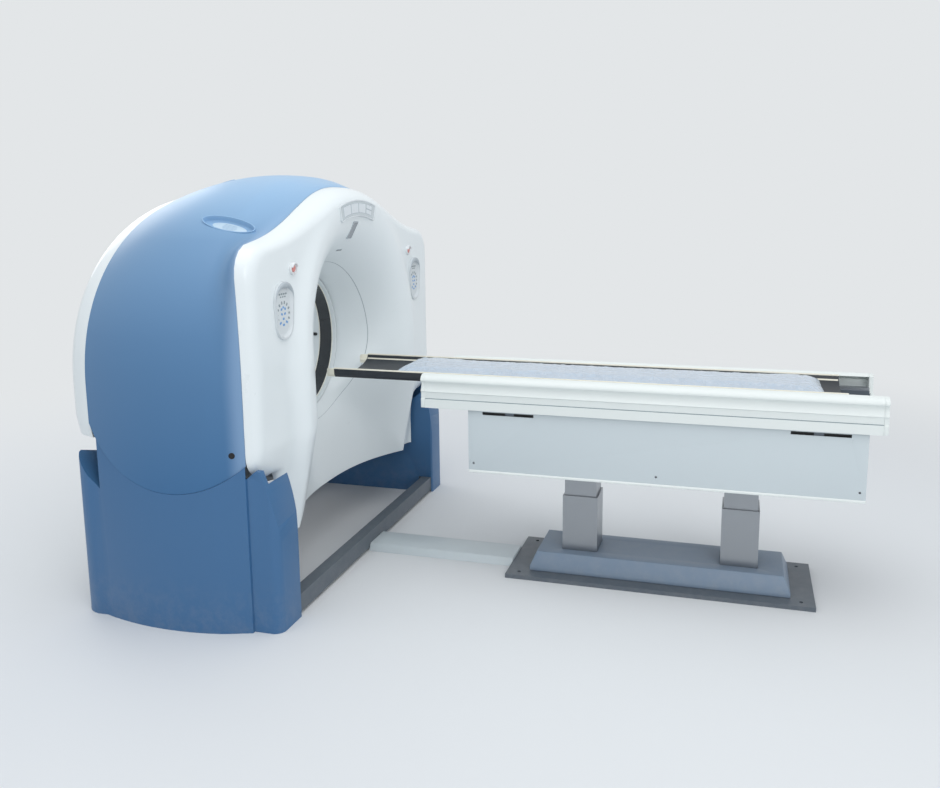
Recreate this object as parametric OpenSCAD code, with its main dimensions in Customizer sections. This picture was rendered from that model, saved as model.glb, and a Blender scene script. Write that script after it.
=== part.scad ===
// CT scanner: a tilting gantry on its floor base, with the patient table in front of it.
// Millimetres. The origin is on the floor straight below the scan centre, +Z is up,
// the gantry's front faces -Y and the table runs out along -Y.

/* [Gantry covers] */
// Height of the scan centre above the floor
iso_h = 1070; // [1040:5:1120]
// Greatest width over the side covers
gantry_w = 2220; // [2160:10:2300]
// Width over the front cover at its seam with the side covers
front_w = 2070; // [2040:10:2110]
// Highest point of the dome above the scan centre
dome_rise = 842; // [836:1:880]
// Roundness of the dome's arch, 2 is an ellipse
dome_power = 2.2; // [2.1:0.1:2.6]
// Height of the front cover's peak above the scan centre
peak_rise = 797; // [780:1:810]
// Height of the front cover's shoulders above the scan centre
shoulder_rise = 545; // [520:5:570]
// Half width of the hump between the two shoulders
hump_w = 600; // [560:5:640]
// Depth from the scan plane forward to the seam on the flanks
seam_side = 315; // [300:1:330]
// Depth from the scan plane forward to the seam at the peak
seam_top = 255; // [240:1:270]
// Depth from the scan plane back to the rear seam
seam_rear = 420; // [400:5:440]
// Depth from the scan plane back to the rear cover's flat face
rear_face = 545; // [530:5:560]
// Thickness of the moulded covers
cover_wall = 6; // [4:0.5:8]
// Open joint between two covers
seam_gap = 0.6; // [0.3:0.1:0.9]
// How far the side covers stand proud of the front cover
lip_out = 16; // [8:1:22]
// Radius of the lower edge of the side covers about the tilt axis
side_edge_r = 465; // [450:5:480]

/* [Front recess] */
// Width of the arched recess between its ridges
arch_w = 1280; // [1240:10:1320]
// Height of the arch above the scan centre
arch_rise = 705; // [690:1:715]
// Depth from the scan plane forward to the ridges at the sides
ridge_out = 420; // [405:1:435]
// Depth from the scan plane forward to the ridge at the top of the arch
crown_out = 375; // [365:1:385]
// Depth from the scan plane forward to the flat flanks
flank_out = 370; // [355:1:380]
// How steeply the recess leaves the bore, 1 is a quarter of a sine wave
bowl_power = 0.75; // [0.7:0.05:1.1]
// Depth of the channel wall under the bore, forward of the scan plane
channel_out = 160; // [140:5:180]
// Lower edge of the covers' middle below the scan centre
skirt_drop = 750; // [730:5:770]
// Width of the covers' middle between the base covers
skirt_w = 1640; // [1600:10:1660]
// Lower edge of the front flanks below the scan centre
flank_drop = 420; // [410:1:425]
// Lower edge of the rear flanks below the scan centre
rear_drop = 270; // [255:5:285]

/* [Bore] */
// Diameter of the patient bore
bore_d = 700; // [680:5:720]
// Wall of the bore rings
ring_wall = 10; // [8:1:12]
// Depth from the scan plane forward to the front of the bore
ring_out = 60; // [56:1:66]
// Width of the dark scan window
window_w = 72; // [60:2:76]
// Width of each light ring beside the scan window
light_w = 5; // [4:1:6]
// Depth from the scan plane back to the start of the rear flare
liner_back = 100; // [95:5:110]
// Diameter of the rear flare at its open end
flare_d = 1120; // [1100:10:1140]
// Depth from the scan plane back to the open end of the flare
flare_back = 480; // [470:5:500]
// Wall of the window and the rear flare
liner_wall = 4; // [3:0.5:5]

/* [Controls] */
// Distance of the control panels from the middle
panel_x = 775; // [765:1:785]
// Height of the control panels above the scan centre
panel_z = 270; // [255:1:285]
// Width of a control panel
panel_w = 158; // [140:1:164]
// Height of a control panel
panel_h = 250; // [235:1:260]
// Depth of the panel face behind its rim
panel_sink = 10; // [6:1:12]
// Height of the hood over the top of a control panel
hood_out = 9; // [6:1:12]
// Distance of the stop buttons from the middle
stop_x = 682; // [675:1:690]
// Height of the stop buttons above the scan centre
stop_z = 443; // [435:1:450]
// Diameter of the stop button housings
stop_d = 54; // [48:1:58]
// Diameter of the stop buttons
stop_cap_d = 30; // [26:1:32]
// Travel of the stop buttons
stop_travel = 5; // [3:1:6]
// Angle over which the display spreads along the arch
display_angle = 34; // [30:1:38]
// Height of the display between its two arcs
display_h = 84; // [76:1:88]

/* [Turning ring] */
// Outer radius of the turning ring
drum_r = 735; // [725:1:740]
// Thickness of the turning ring's plate
drum_t = 40; // [34:2:46]
// Depth from the scan plane back to the turning ring's plate
drum_back = 110; // [106:1:114]
// Distance from the focal spot to the scan centre
focus_r = 541; // [530:1:550]
// Distance from the focal spot to the detector
detector_r = 949; // [940:1:958]
// Fan angle of the detector
fan_angle = 54; // [50:1:56]
// Running radius of the main bearing
race_r = 600; // [590:5:610]
// Radial clearance of running fits
fit = 0.05; // [0.02:0.01:0.1]

/* [Tilt] */
// Diameter of the tilt shafts
tilt_shaft_d = 90; // [80:2:100]
// Pitch radius of the tilt sector
sector_r = 280; // [280:20:300]
// Number of teeth on the tilt pinion
pinion_teeth = 12; // [12:1:14]
// Pitch radius of the tilt pinion
pinion_r = 28; // [28:1:30]
// Inner face of the uprights, from the middle
upright_x = 860; // [855:1:870]
// Thickness of the uprights
upright_t = 80; // [70:2:84]

/* [Base] */
// Inner face of the base covers, from the middle
base_in = 848; // [842:1:852]
// Depth of the base forward of the scan centre
base_front = 440; // [438:1:460]
// Depth of the base covers behind the scan centre
base_back = 520; // [500:5:530]
// Radius of the hollow in the base covers that the front flanks swing over
swing_front_r = 576; // [572:1:584]
// Radius of the hollow that the rear flanks swing over
swing_rear_r = 622; // [616:1:630]
// Height of the base's rails
rail_h = 80; // [70:5:90]
// Distance of the gantry's floor anchors inward of its widest side
anchor_in = 160; // [155:1:180]
// Spacing of the gantry's floor anchors from front to back
anchor_y = 800; // [780:10:820]
// Diameter of the anchor holes
anchor_d = 18; // [14:1:22]

/* [Table] */
// Height of the cradle's edge at scanning height
cradle_h = 985; // [975:1:990]
// Width of the cradle
cradle_w = 424; // [410:2:430]
// Gap from the scan plane to the cradle's head end
cradle_gap = 275; // [260:5:300]
// Length of the cradle with its head end
cradle_l = 2430; // [2400:5:2450]
// Length of the head end piece
tip_l = 44; // [40:2:56]
// Gap from the scan plane to the table top's front end
top_gap = 800; // [790:5:820]
// Length of the table top
top_l = 2060; // [2000:10:2100]
// Width over the table's side fascias
table_w = 576; // [568:2:590]
// Height of the side fascias
fascia_h = 156; // [150:1:160]
// Wall of the fascias and side panels
panel_wall = 4; // [3:0.5:5]
// Height of the side panels
skirt_panel_h = 312; // [300:2:316]
// Gap from the scan plane to the side panels' front end
side_gap = 1030; // [1020:5:1050]
// Length of the side panels
side_l = 1760; // [1720:10:1780]
// Length of a slot handle in a side panel
slot_l = 245; // [220:5:260]
// Travel of the table from scanning height down to its lowest height
lift_travel = 500; // [470:5:510]
// Spacing of the two lift columns
column_gap = 750; // [700:10:800]
// Width of the outer column tube
column_w = 170; // [160:2:180]
// Wall of a column tube
tube_wall = 8; // [6:1:9]
// Thickness of the mattress at its middle
pad_t = 62; // [50:1:66]
// Length of the mattress
pad_l = 2020; // [1900:10:2060]
// Spacing of the table's floor anchors along its length
table_anchor_y = 1300; // [1200:10:1400]
// Spacing of the table's floor anchors across its width
table_anchor_x = 400; // [380:10:420]

/* [Hidden] */

white = [0.90, 0.93, 0.95];
ice = [0.80, 0.86, 0.91];
blue = [0.42, 0.58, 0.77];
deep_blue = [0.30, 0.44, 0.62];
grey = [0.62, 0.65, 0.68];
dark = [0.12, 0.13, 0.15];
steel = [0.55, 0.57, 0.60];
cream = [0.88, 0.87, 0.80];
pad_blue = [0.72, 0.80, 0.90];

half_w = gantry_w / 2;
anchor_x = gantry_w - 2 * anchor_in;
front_hw = front_w / 2;
arch_hw = arch_w / 2;
skirt_hw = skirt_w / 2;
bore_r = bore_d / 2;
ring_r = bore_r + ring_wall;
hole_r = ring_r + 4;
corner_h = 430;
corner_in = 110;
dome_base = -50;
barrel_mid = (seam_rear - seam_side) / 2 + 8;
roll_depth = 160;
lip_roll = 14;
face_fn = 96;
touch = 0.3;

function mix(a, b, t) = a + (b - a) * t;
function clamp(v) = max(0, min(1, v));
function bulge(c, n) = pow(max(0, 1 - pow(abs(c), n)), 1 / n);

// Upper edge of the front cover over half its width: two shoulders, a hump and round corners
function ogee(x) = shoulder_rise + (peak_rise - shoulder_rise) * exp(-pow(abs(x) / hump_w, 2.3));
function crown(x) = let(start = front_hw - corner_in)
    x < start ? ogee(x) : corner_h + (ogee(x) - corner_h) * bulge((x - start) / corner_in, 2);

// Half width and top of a section through the side covers at depth y
function section_w(y) = let(reach = barrel_mid + seam_side)
    half_w - lip_out - (half_w - lip_out - front_hw) * pow((y - barrel_mid) / reach, 2);
function section_top(y) = dome_rise - 90 * pow((y - 20) / 400, 2);
function dome(x, y) = dome_base + (section_top(y) - dome_base) * bulge(x / section_w(y), dome_power);

// Distance from the scan centre to an outline along the ray at angle a
function halve(a, y, low, high, n) = let(r = (low + high) / 2)
    n == 0 ? r : (outside(a, y, r) ? halve(a, y, low, r, n - 1) : halve(a, y, r, high, n - 1));
function height_at(x, y) = y < -seam_side - 1 ? crown(x) : dome(x, y);
function width_at(y) = y < -seam_side - 1 ? front_hw : section_w(y);
function outside(a, y, r) = r * cos(a) > width_at(y) || r * sin(a) > height_at(r * cos(a), y);
function ray(a, y) = halve(a, y, 400, 1600, 22);
function front_ray(a) = ray(a, -seam_side - 10);

// Depth of the seam between the front cover and the side covers
function seam_y(a) = -mix(seam_side, seam_top, a > 0 ? pow(sin(a), 2) : 0);
function skin_ray(a, y) = let(back = y - seam_y(a))
    mix(front_ray(a), ray(a, y), sin(90 * clamp(back / roll_depth))) + lip_out * (1 - exp(-back / lip_roll));
// Half width over the side covers at depth y, where they run straight down
function skin_w(y) = mix(front_hw, section_w(y), sin(90 * clamp((y + seam_side) / roll_depth)))
    + lip_out * (1 - exp(-max(0, y + seam_side) / lip_roll));

// The recess: a door-shaped crest line of an arch on two straight legs
levels = [-skirt_drop, -skirt_drop * 0.83, -flank_drop - 120, -flank_drop - 72, -flank_drop - 12,
    -flank_drop + 72, -flank_drop + 162, -flank_drop + 240, -flank_drop + 310, -50];
fin_h = 72;
leg_out = [[skirt_hw, -skirt_drop], [skirt_hw, -skirt_drop * 0.83], [skirt_hw, -flank_drop - 120],
    [skirt_hw + 4, -flank_drop - 48], [skirt_hw + 25, -flank_drop - 8],
    [mix(skirt_hw + 25, front_hw - 80, 0.5), -flank_drop - 3], [front_hw - 80, -flank_drop],
    [front_hw - 8, fin_h - flank_drop], [front_hw, -240], [front_hw, -120]];
arch_steps = 20;
legs = len(levels);
crest_right = [for (z = levels) [arch_hw, z]];
crest_arch = [for (i = [0:arch_steps]) let(a = 180 * i / arch_steps) [arch_hw * cos(a), arch_rise * sin(a)]];
crest_left = [for (i = [legs - 1:-1:0]) [-arch_hw, levels[i]]];
floor_steps = 8;
crest_floor = [for (i = [1:floor_steps - 1]) [mix(-arch_hw, arch_hw, i / floor_steps), -skirt_drop]];
crest = concat(crest_right, crest_arch, crest_left, crest_floor);
open_columns = 2 * legs + arch_steps + 1;
function angle_of(p) = atan2(p[1], p[0]);
function fold(a) = abs(a) > 90 ? 180 - abs(a) : abs(a);
function outline_of(i) = i < legs ? leg_out[i]
    : i >= open_columns - legs ? let(p = leg_out[open_columns - 1 - i]) [-p[0], p[1]]
    : let(a = angle_of(crest[i]), r = front_ray(fold(a))) [r * cos(a), r * sin(a)];
outline = [for (i = [0:open_columns - 1]) outline_of(i)];

function taper(z) = clamp((-z - 300) / (skirt_drop - 300));
function crest_out(p) = p[1] > 0 ? mix(ridge_out, crown_out, p[1] / arch_rise)
    : p[1] > -skirt_drop || abs(p[0]) >= arch_hw ? ridge_out - 90 * taper(p[1])
    : channel_out + (ridge_out - 90 - channel_out) * pow(abs(p[0]) / arch_hw, 2.5);
function flank_at(p) = flank_out - 80 * taper(p[1]);
function edge_depth(i) = i < legs || i >= open_columns - legs ? seam_side
    : -seam_y(fold(angle_of(outline[i])));
bowl_steps = [0, 0.08, 0.18, 0.3, 0.44, 0.58, 0.72, 0.85, 0.94, 1];
brow_steps = [0, 0.08, 0.17, 0.28, 0.44, 0.62, 0.78, 0.88, 0.94, 0.98, 1];
function bowl_point(i, s) = let(p = crest[i], a = angle_of(p), g = sin(90 * pow(s, bowl_power)))
    [mix(hole_r * cos(a), p[0], s), -mix(ring_out, crest_out(p), g), mix(hole_r * sin(a), p[1], s)];
corner_round = 75;
function brow_point(i, u) = let(p = crest[i], q = outline[i], span = norm(q - p),
        start = max(0.2, 1 - corner_round / span), e = u < start ? 0 : 1 - bulge((u - start) / (1 - start), 2),
        w = exp(-pow(u * span / 70, 2)), f = flank_at(mix(p, q, u)))
    [mix(p[0], q[0], u), -(f + (crest_out(p) - f) * w * (1 - e) + (edge_depth(i) - f) * e), mix(p[1], q[1], u)];

bowl_n = len(bowl_steps);
brow_n = len(brow_steps);
crest_n = len(crest);
face_points = concat([for (i = [0:crest_n - 1]) for (j = [0:bowl_n - 1]) bowl_point(i, bowl_steps[j])],
    [for (i = [0:open_columns - 1]) for (j = [1:brow_n - 1]) brow_point(i, brow_steps[j])]);
// Inner side of a wall: each point moves back along the normal of its own column
function back_off(a, b, p) = let(d = b - a, flat = [d[0], 0, d[2]], run = max(norm(flat), 0.001), len = norm(d))
    p + cover_wall * [-flat[0] / run * d[1] / len, run / len, -flat[2] / run * d[1] / len];
function bowl_back(i, j) = let(a = bowl_point(i, bowl_steps[max(j - 1, 0)]),
        b = bowl_point(i, bowl_steps[min(j + 1, bowl_n - 1)]), p = bowl_point(i, bowl_steps[j]))
    j == bowl_n - 1 ? p + [0, cover_wall, 0] : back_off(a, b, p);
function brow_back(i, j) = let(s = brow_steps[j], last = brow_n - 1,
        along = brow_point(min(i + 1, open_columns - 1), s) - brow_point(max(i - 1, 0), s),
        over = brow_point(i, brow_steps[min(j + 1, last)]) - brow_point(i, brow_steps[j - 1]),
        n = j == last ? [-along[2], 0, along[0]] : cross(along, over))
    brow_point(i, s) + cover_wall * n / norm(n);
face_backs = concat([for (i = [0:crest_n - 1]) for (j = [0:bowl_n - 1]) bowl_back(i, j)],
    [for (i = [0:open_columns - 1]) for (j = [1:brow_n - 1]) brow_back(i, j)]);
function bowl_id(i, j) = (i % crest_n) * bowl_n + j;
function brow_id(i, j) = j == 0 ? bowl_id(i, bowl_n - 1) : crest_n * bowl_n + i * (brow_n - 1) + j - 1;
function quad(a, b, c, d) = [[a, b, c], [a, c, d]];
function flip(faces, shift) = [for (f = faces) [f[2] + shift, f[1] + shift, f[0] + shift]];
function band(ring, shift) = let(n = len(ring))
    [for (k = [0:n - 1]) for (f = quad(ring[k], ring[(k + 1) % n], ring[(k + 1) % n] + shift, ring[k] + shift)) f];
function reversed(list) = [for (k = [len(list) - 1:-1:0]) list[k]];

// A closed wall from two matching nets of points, with the loops that bound the net
module wall(points, backs, faces, loops) {
    n = len(points);
    all = concat(faces, flip(faces, n), [for (r = loops) for (f = band(r, n)) f]);
    polyhedron(concat(points, backs), [for (f = all) reversed(f)], 4);
}

module about_bore() {
    translate([0, 0, iso_h]) rotate([90, 0, 0]) children();
}
// A turned piece about the bore, its profile in radius and depth forward of the scan plane
module turned(profile) {
    about_bore() rotate_extrude($fn = face_fn) polygon(profile);
}
module both_sides() {
    children();
    mirror([1, 0, 0]) children();
}
module box(x0, x1, y0, y1, z0, z1) {
    translate([x0, y0, z0]) cube([x1 - x0, y1 - y0, z1 - z0]);
}
module egg(w, h, depth) {
    hull() {
        translate([0, h / 2 - w / 2, 0]) cylinder(d = w, h = depth, $fn = 32);
        translate([0, w * 0.44 - h / 2, 0]) cylinder(d = w * 0.88, h = depth, $fn = 32);
    }
}
module on_flank(x, z, depth) {
    translate([x, -depth, iso_h + z]) rotate([90, 0, 0]) children();
}

// Windows on the recess wall, square to its slope along the centre line
function bowl_s(r) = (r - hole_r) / (arch_rise - hole_r);
function bowl_y(r) = mix(ring_out, crown_out, sin(90 * pow(bowl_s(r), bowl_power)));
function bowl_lean(r) = atan((bowl_y(r + 12) - bowl_y(r - 12)) / 24);
module on_bowl(r) {
    translate([0, -bowl_y(r), iso_h + r]) rotate([bowl_lean(r), 0, 0]) children();
}
laser_r = 582;
laser_size = [54, 96];
slot_r = 482;
slot_size = [62, 13];
module laser_blocks(extra, proud) {
    for (w = [[laser_r, laser_size], [slot_r, slot_size]])
        on_bowl(w[0]) translate([-w[1][0] / 2 - extra, -proud, -w[1][1] / 2 - extra])
            cube([w[1][0] + 2 * extra, proud + cover_wall + 4, w[1][1] + 2 * extra]);
}
display_r = arch_rise + 30;
module display_block(extra, front, back) {
    translate([0, -back, iso_h]) rotate([90, 0, 0])
        rotate([0, 0, 90 - display_angle / 2 - extra / 12])
            rotate_extrude(angle = display_angle + extra / 6, $fn = face_fn)
                translate([display_r - display_h - extra, 0]) square([display_h + 2 * extra, front - back]);
}

module front_cover() {
    faces = concat(
        [for (i = [0:crest_n - 1]) for (j = [0:bowl_n - 2])
            for (f = quad(bowl_id(i, j), bowl_id(i, j + 1), bowl_id(i + 1, j + 1), bowl_id(i + 1, j))) f],
        [for (i = [0:open_columns - 2]) for (j = [0:brow_n - 2])
            for (f = quad(brow_id(i, j), brow_id(i, j + 1), brow_id(i + 1, j + 1), brow_id(i + 1, j))) f]);
    bore_loop = [for (i = [0:crest_n - 1]) bowl_id(i, 0)];
    rim_loop = concat([for (i = [0:open_columns - 1]) brow_id(i, brow_n - 1)],
        [for (j = [brow_n - 2:-1:0]) brow_id(open_columns - 1, j)],
        [for (i = [open_columns:crest_n - 1]) bowl_id(i, bowl_n - 1)],
        [for (j = [0:brow_n - 2]) brow_id(0, j)]);
    color(white) difference() {
        translate([0, 0, iso_h]) wall(face_points, face_backs, faces, [bore_loop, reversed(rim_loop)]);
        for (side = [-1, 1]) {
            on_flank(side * panel_x, panel_z, flank_out - 60) egg(panel_w + 2 * touch, panel_h + 2 * touch, 120);
            on_flank(side * stop_x, stop_z, flank_out - 60) cylinder(d = stop_d + 2 * touch, h = 120, $fn = 48);
        }
        display_block(touch, crown_out + 60, crown_out - 60);
        laser_blocks(touch, 20);
    }
}

// One half of the blue covers: a wall swept from the lower edge up over the shoulder to the middle
skin_steps = 22;
depth_steps = [0, 0.02, 0.05, 0.1, 0.17, 0.26, 0.4, 0.55, 0.7, 0.82, 0.92, 1];
function edge_angle(y) = -atan2(sqrt(pow(side_edge_r, 2) - y * y), skin_w(y));
function skin_point(t, v, inset) = let(y_rough = seam_y(mix(edge_angle(-seam_side), 90, t)),
        y0 = seam_y(mix(edge_angle(y_rough), 90, t)) + seam_gap,
        y = mix(y0, seam_rear - seam_gap, v), a = mix(edge_angle(y), 90, t), r = skin_ray(a, y) - inset)
    [max(r * cos(a), seam_gap / 2), y, r * sin(a)];
module side_cover() {
    ts = [for (i = [0:skin_steps]) pow(i / skin_steps, 0.9)];
    m = len(depth_steps);
    points = [for (t = ts) for (v = depth_steps) skin_point(t, v, 0)];
    backs = [for (t = ts) for (v = depth_steps) skin_point(t, v, cover_wall)];
    faces = [for (i = [0:skin_steps - 1]) for (j = [0:m - 2])
        for (f = quad(i * m + j, i * m + j + 1, (i + 1) * m + j + 1, (i + 1) * m + j)) f];
    rim = concat([for (j = [0:m - 1]) j], [for (i = [1:skin_steps]) i * m + m - 1],
        [for (j = [m - 2:-1:0]) skin_steps * m + j], [for (i = [skin_steps - 1:-1:1]) i * m]);
    difference() {
        translate([0, 0, iso_h]) wall(points, backs, faces, [reversed(rim)]);
        on_skin(vent_x, vent_y) long_oval(vent_l + 2 * touch, vent_w + 2 * touch, -80, 60);
        on_skin(cap_x, cap_y) long_oval(cap_l + 2 * touch, cap_w + 2 * touch, -30, 30);
    }
}
vent_x = 745;
vent_y = -118;
vent_l = 255;
vent_w = 92;
cap_x = 178;
cap_y = 245;
cap_l = 96;
cap_w = 50;
function skin_at(x, y) = let(a = atan2(dome(x, y), x), r = skin_ray(a, y)) [r * cos(a), y, r * sin(a)];
module on_skin(x, y) {
    p = skin_at(x, y);
    along = skin_at(x, y + 30) - skin_at(x, y - 30);
    out = cross(skin_at(x + 30, y) - skin_at(x - 30, y), along);
    n = out / norm(out);
    t = along / norm(along);
    u = cross(t, n);
    multmatrix([[u[0], t[0], n[0], p[0]], [u[1], t[1], n[1], p[1]], [u[2], t[2], n[2], p[2] + iso_h],
        [0, 0, 0, 1]]) children();
}
module long_oval(l, w, low, high) {
    translate([0, 0, low]) linear_extrude(high - low) scale([w / l, 1]) circle(d = l, $fn = face_fn);
}
module right_side_cover() {
    color(blue) side_cover();
}
module left_side_cover() {
    color(blue) mirror([1, 0, 0]) side_cover();
}
module shoulder_vents() {
    color(deep_blue) both_sides() on_skin(vent_x, vent_y) difference() {
        long_oval(vent_l, vent_w, -38, -10);
        long_oval(vent_l - 14, vent_w - 14, -28, 10);
        for (k = [-2:2]) translate([k * 13 - 3, -vent_l / 3, -40]) cube([6, vent_l * 2 / 3, 60]);
    }
}
module dome_caps() {
    color(deep_blue) both_sides() on_skin(cap_x, cap_y) long_oval(cap_l, cap_w, -10, 3);
}

// Rear cover: a flat back with rounded edges round the flare
rear_steps = [0, 0.05, 0.2, 0.45, 0.7, 0.84, 0.93, 0.98, 1];
rear_legs = [[skirt_hw, -skirt_drop], [skirt_hw, -0.75 * skirt_drop], [skirt_hw, -0.55 * skirt_drop],
    [skirt_hw + 20, -rear_drop - 60], [mix(skirt_hw, section_w(seam_rear), 0.5), -rear_drop - 14],
    [section_w(seam_rear) - 4, -rear_drop]];
rear_angles = [for (i = [-1:19]) 180 * i / 18];
rear_outline = concat(rear_legs,
    [for (a = rear_angles) if (a > -12 && a < 192) let(r = ray(fold(a), seam_rear) + lip_out)
        [r * cos(a), r * sin(a)]],
    [for (k = [len(rear_legs) - 1:-1:0]) [-rear_legs[k][0], rear_legs[k][1]]],
    [for (k = [1:7]) [mix(-skirt_hw, skirt_hw, k / 8), -skirt_drop]]);
flare_r = flare_d / 2;
function rear_point(i, u) = let(q = rear_outline[i], a = angle_of(q), r0 = flare_r + liner_wall + 4,
        p = [r0 * cos(a), r0 * sin(a)], span = norm(q - p), start = max(0.3, 1 - 110 / span),
        e = u < start ? 0 : 1 - bulge((u - start) / (1 - start), 2), w = exp(-pow(u * span / 24, 2)))
    [mix(p[0], q[0], u), mix(rear_face, seam_rear, e) - (rear_face - flare_back - 12) * w, mix(p[1], q[1], u)];
function rear_back(i, j) = let(last = len(rear_steps) - 1, a = rear_point(i, rear_steps[max(j - 1, 0)]),
        b = rear_point(i, rear_steps[min(j + 1, last)]), d = b - a, flat = [d[0], 0, d[2]],
        run = norm(flat), len = norm(d))
    j == last ? b - cover_wall / run * flat
    : rear_point(i, rear_steps[j]) + cover_wall * [flat[0] / run * d[1] / len, -run / len, flat[2] / run * d[1] / len];
module rear_cover() {
    n = len(rear_outline);
    m = len(rear_steps);
    points = [for (i = [0:n - 1]) for (u = rear_steps) rear_point(i, u)];
    backs = [for (i = [0:n - 1]) for (j = [0:m - 1]) rear_back(i, j)];
    faces = [for (i = [0:n - 1]) for (j = [0:m - 2])
        for (f = quad(i * m + j, (i + 1) % n * m + j, (i + 1) % n * m + j + 1, i * m + j + 1)) f];
    inner = [for (i = [0:n - 1]) i * m];
    outer = [for (i = [0:n - 1]) i * m + m - 1];
    color(white) translate([0, 0, iso_h]) wall(points, backs, faces, [reversed(inner), outer]);
}

// Bore, from front to back
window_hw = window_w / 2;
module front_bore_ring() {
    flange = ring_out - cover_wall - touch;
    color(ice) turned([[bore_r, window_hw + light_w], [ring_r + 25, window_hw + light_w],
        [ring_r + 25, flange], [ring_r, flange], [ring_r, ring_out + 1], [ring_r - 3, ring_out + 3],
        [bore_r + 2, ring_out + 3], [bore_r, ring_out]]);
}
module light_rings() {
    color([0.8, 0.82, 0.8]) for (s = [-1, 1]) scale([1, s, 1])
        turned([[bore_r - 3, window_hw], [bore_r + liner_wall, window_hw],
            [bore_r + liner_wall, window_hw + light_w], [bore_r - 3, window_hw + light_w]]);
}
module scan_window() {
    color(dark) turned([[bore_r, -window_hw], [bore_r + 2, -window_hw], [bore_r + 2, window_hw],
        [bore_r, window_hw]]);
}
module rear_bore_liner() {
    color(ice) {
        turned([[bore_r, -liner_back], [bore_r + liner_wall, -liner_back],
            [bore_r + liner_wall, -window_hw - light_w], [bore_r, -window_hw - light_w]]);
    }
}
module rear_flare() {
    color(ice) turned([[bore_r, -liner_back], [flare_r, -flare_back], [flare_r + 4, -flare_back - 8],
        [flare_r + liner_wall + 2, -flare_back - 8], [flare_r + liner_wall + 2, -flare_back],
        [bore_r + liner_wall + 1, -liner_back]]);
}

module display_panel() {
    color(grey) display_block(0, crown_out + 7, crown_out - 22);
}
module laser_windows() {
    color(dark) laser_blocks(0, 1.5);
}

key_rows = [[-18, 62], [0, 64], [18, 62], [-34, 22], [-20, 36], [0, 40], [20, 36], [34, 22],
    [-10, 2], [10, 2], [0, -16], [0, 18], [-26, -48], [-9, -54], [9, -54], [26, -48]];
module control_panel(side) {
    on_flank(side * panel_x, panel_z, flank_out - 24) difference() {
        union() {
            egg(panel_w, panel_h, 34);
            intersection() {
                egg(panel_w, panel_h, 34 + hood_out);
                translate([-panel_w, panel_h * 0.16, 0]) rotate([-24, 0, 0]) cube([2 * panel_w, panel_h, 34 + hood_out]);
            }
        }
        translate([0, 0, 34 - panel_sink]) egg(panel_w - 22, panel_h - 24, 20 + hood_out);
    }
}
module left_control_panel() {
    color(grey) control_panel(-1);
}
module right_control_panel() {
    color(grey) control_panel(1);
}
module panel_keys() {
    color(ice) for (side = [-1, 1]) for (k = key_rows)
        on_flank(side * panel_x + k[0], panel_z + k[1], flank_out + 10 - panel_sink)
            cylinder(d = 13, h = 3, $fn = 16);
}
stop_front = flank_out + 14;
module stop_housings() {
    color(ice) both_sides() on_flank(stop_x, stop_z, flank_out - 24) difference() {
        cylinder(d = stop_d, h = 34, $fn = 48);
        translate([0, 0, 12]) cylinder(d = stop_cap_d + 2 * fit, h = 40, $fn = 48);
        translate([0, 0, 30]) cylinder(d = stop_d - 10, h = 10, $fn = 48);
    }
}
module stop_button(side) {
    color([0.85, 0.55, 0.52]) on_flank(side * stop_x, stop_z, flank_out - 12 + stop_travel + 1)
        cylinder(d = stop_cap_d, h = 17, $fn = 48);
}
module left_stop_button() {
    stop_button(-1);
}
module right_stop_button() {
    stop_button(1);
}

// Tilting steel frame
plate_y = 260;
plate_t = 50;
arm_in = 752;
arm_t = 48;
arm_out = arm_in + arm_t;
arm_h = 240;
module along_x(x) {
    translate([x, 0, iso_h]) rotate([0, 90, 0]) children();
}
module tilt_frame() {
    color(steel) {
        difference() {
            union() {
                translate([0, plate_y + plate_t, iso_h]) rotate([90, 0, 0]) linear_extrude(plate_t)
                    polygon([[-arm_out, -690], [arm_out, -690], [arm_out, 330], [540, 680], [-540, 680],
                        [-arm_out, 330]]);
                both_sides() {
                    box(arm_in, arm_out, -90, plate_y, iso_h - arm_h / 2, iso_h + arm_h / 2);
                    along_x(arm_out) cylinder(d = tilt_shaft_d, h = upright_x + upright_t + 12 - arm_out, $fn = 64);
                    along_x(arm_out) cylinder(d = tilt_shaft_d + 50, h = upright_x - 6 - arm_out, $fn = 64);
                    for (z = [-560, 420]) translate([620, plate_y + plate_t, iso_h + z]) rotate([-90, 0, 0])
                        cylinder(d = 40, h = rear_face - cover_wall - touch - plate_y - plate_t, $fn = 32);
                }
            }
            about_bore() translate([0, 0, -plate_y - plate_t - 1]) cylinder(r = race_r - 40, h = plate_t + 2, $fn = face_fn);
        }
    }
}
race_back = plate_y;
race_front = 205;
module bearing_outer_race() {
    color(steel) turned([[race_r + touch, -race_back], [race_r + 80, -race_back], [race_r + 80, -race_front],
        [race_r + touch, -race_front]]);
}
module bearing_inner_race() {
    color(grey) turned([[race_r - 50, -race_back + 4], [race_r, -race_back + 4], [race_r, -race_front],
        [race_r - 50, -race_front]]);
}
slip_back = 200;
module brush_block() {
    color([0.25, 0.27, 0.3]) {
        box(-40, 40, slip_back + touch, plate_y + plate_t, iso_h + 478, iso_h + race_r - 62);
        box(-40, 40, plate_y + plate_t, plate_y + plate_t + 14, iso_h + 490, iso_h + race_r + 30);
    }
}

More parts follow.
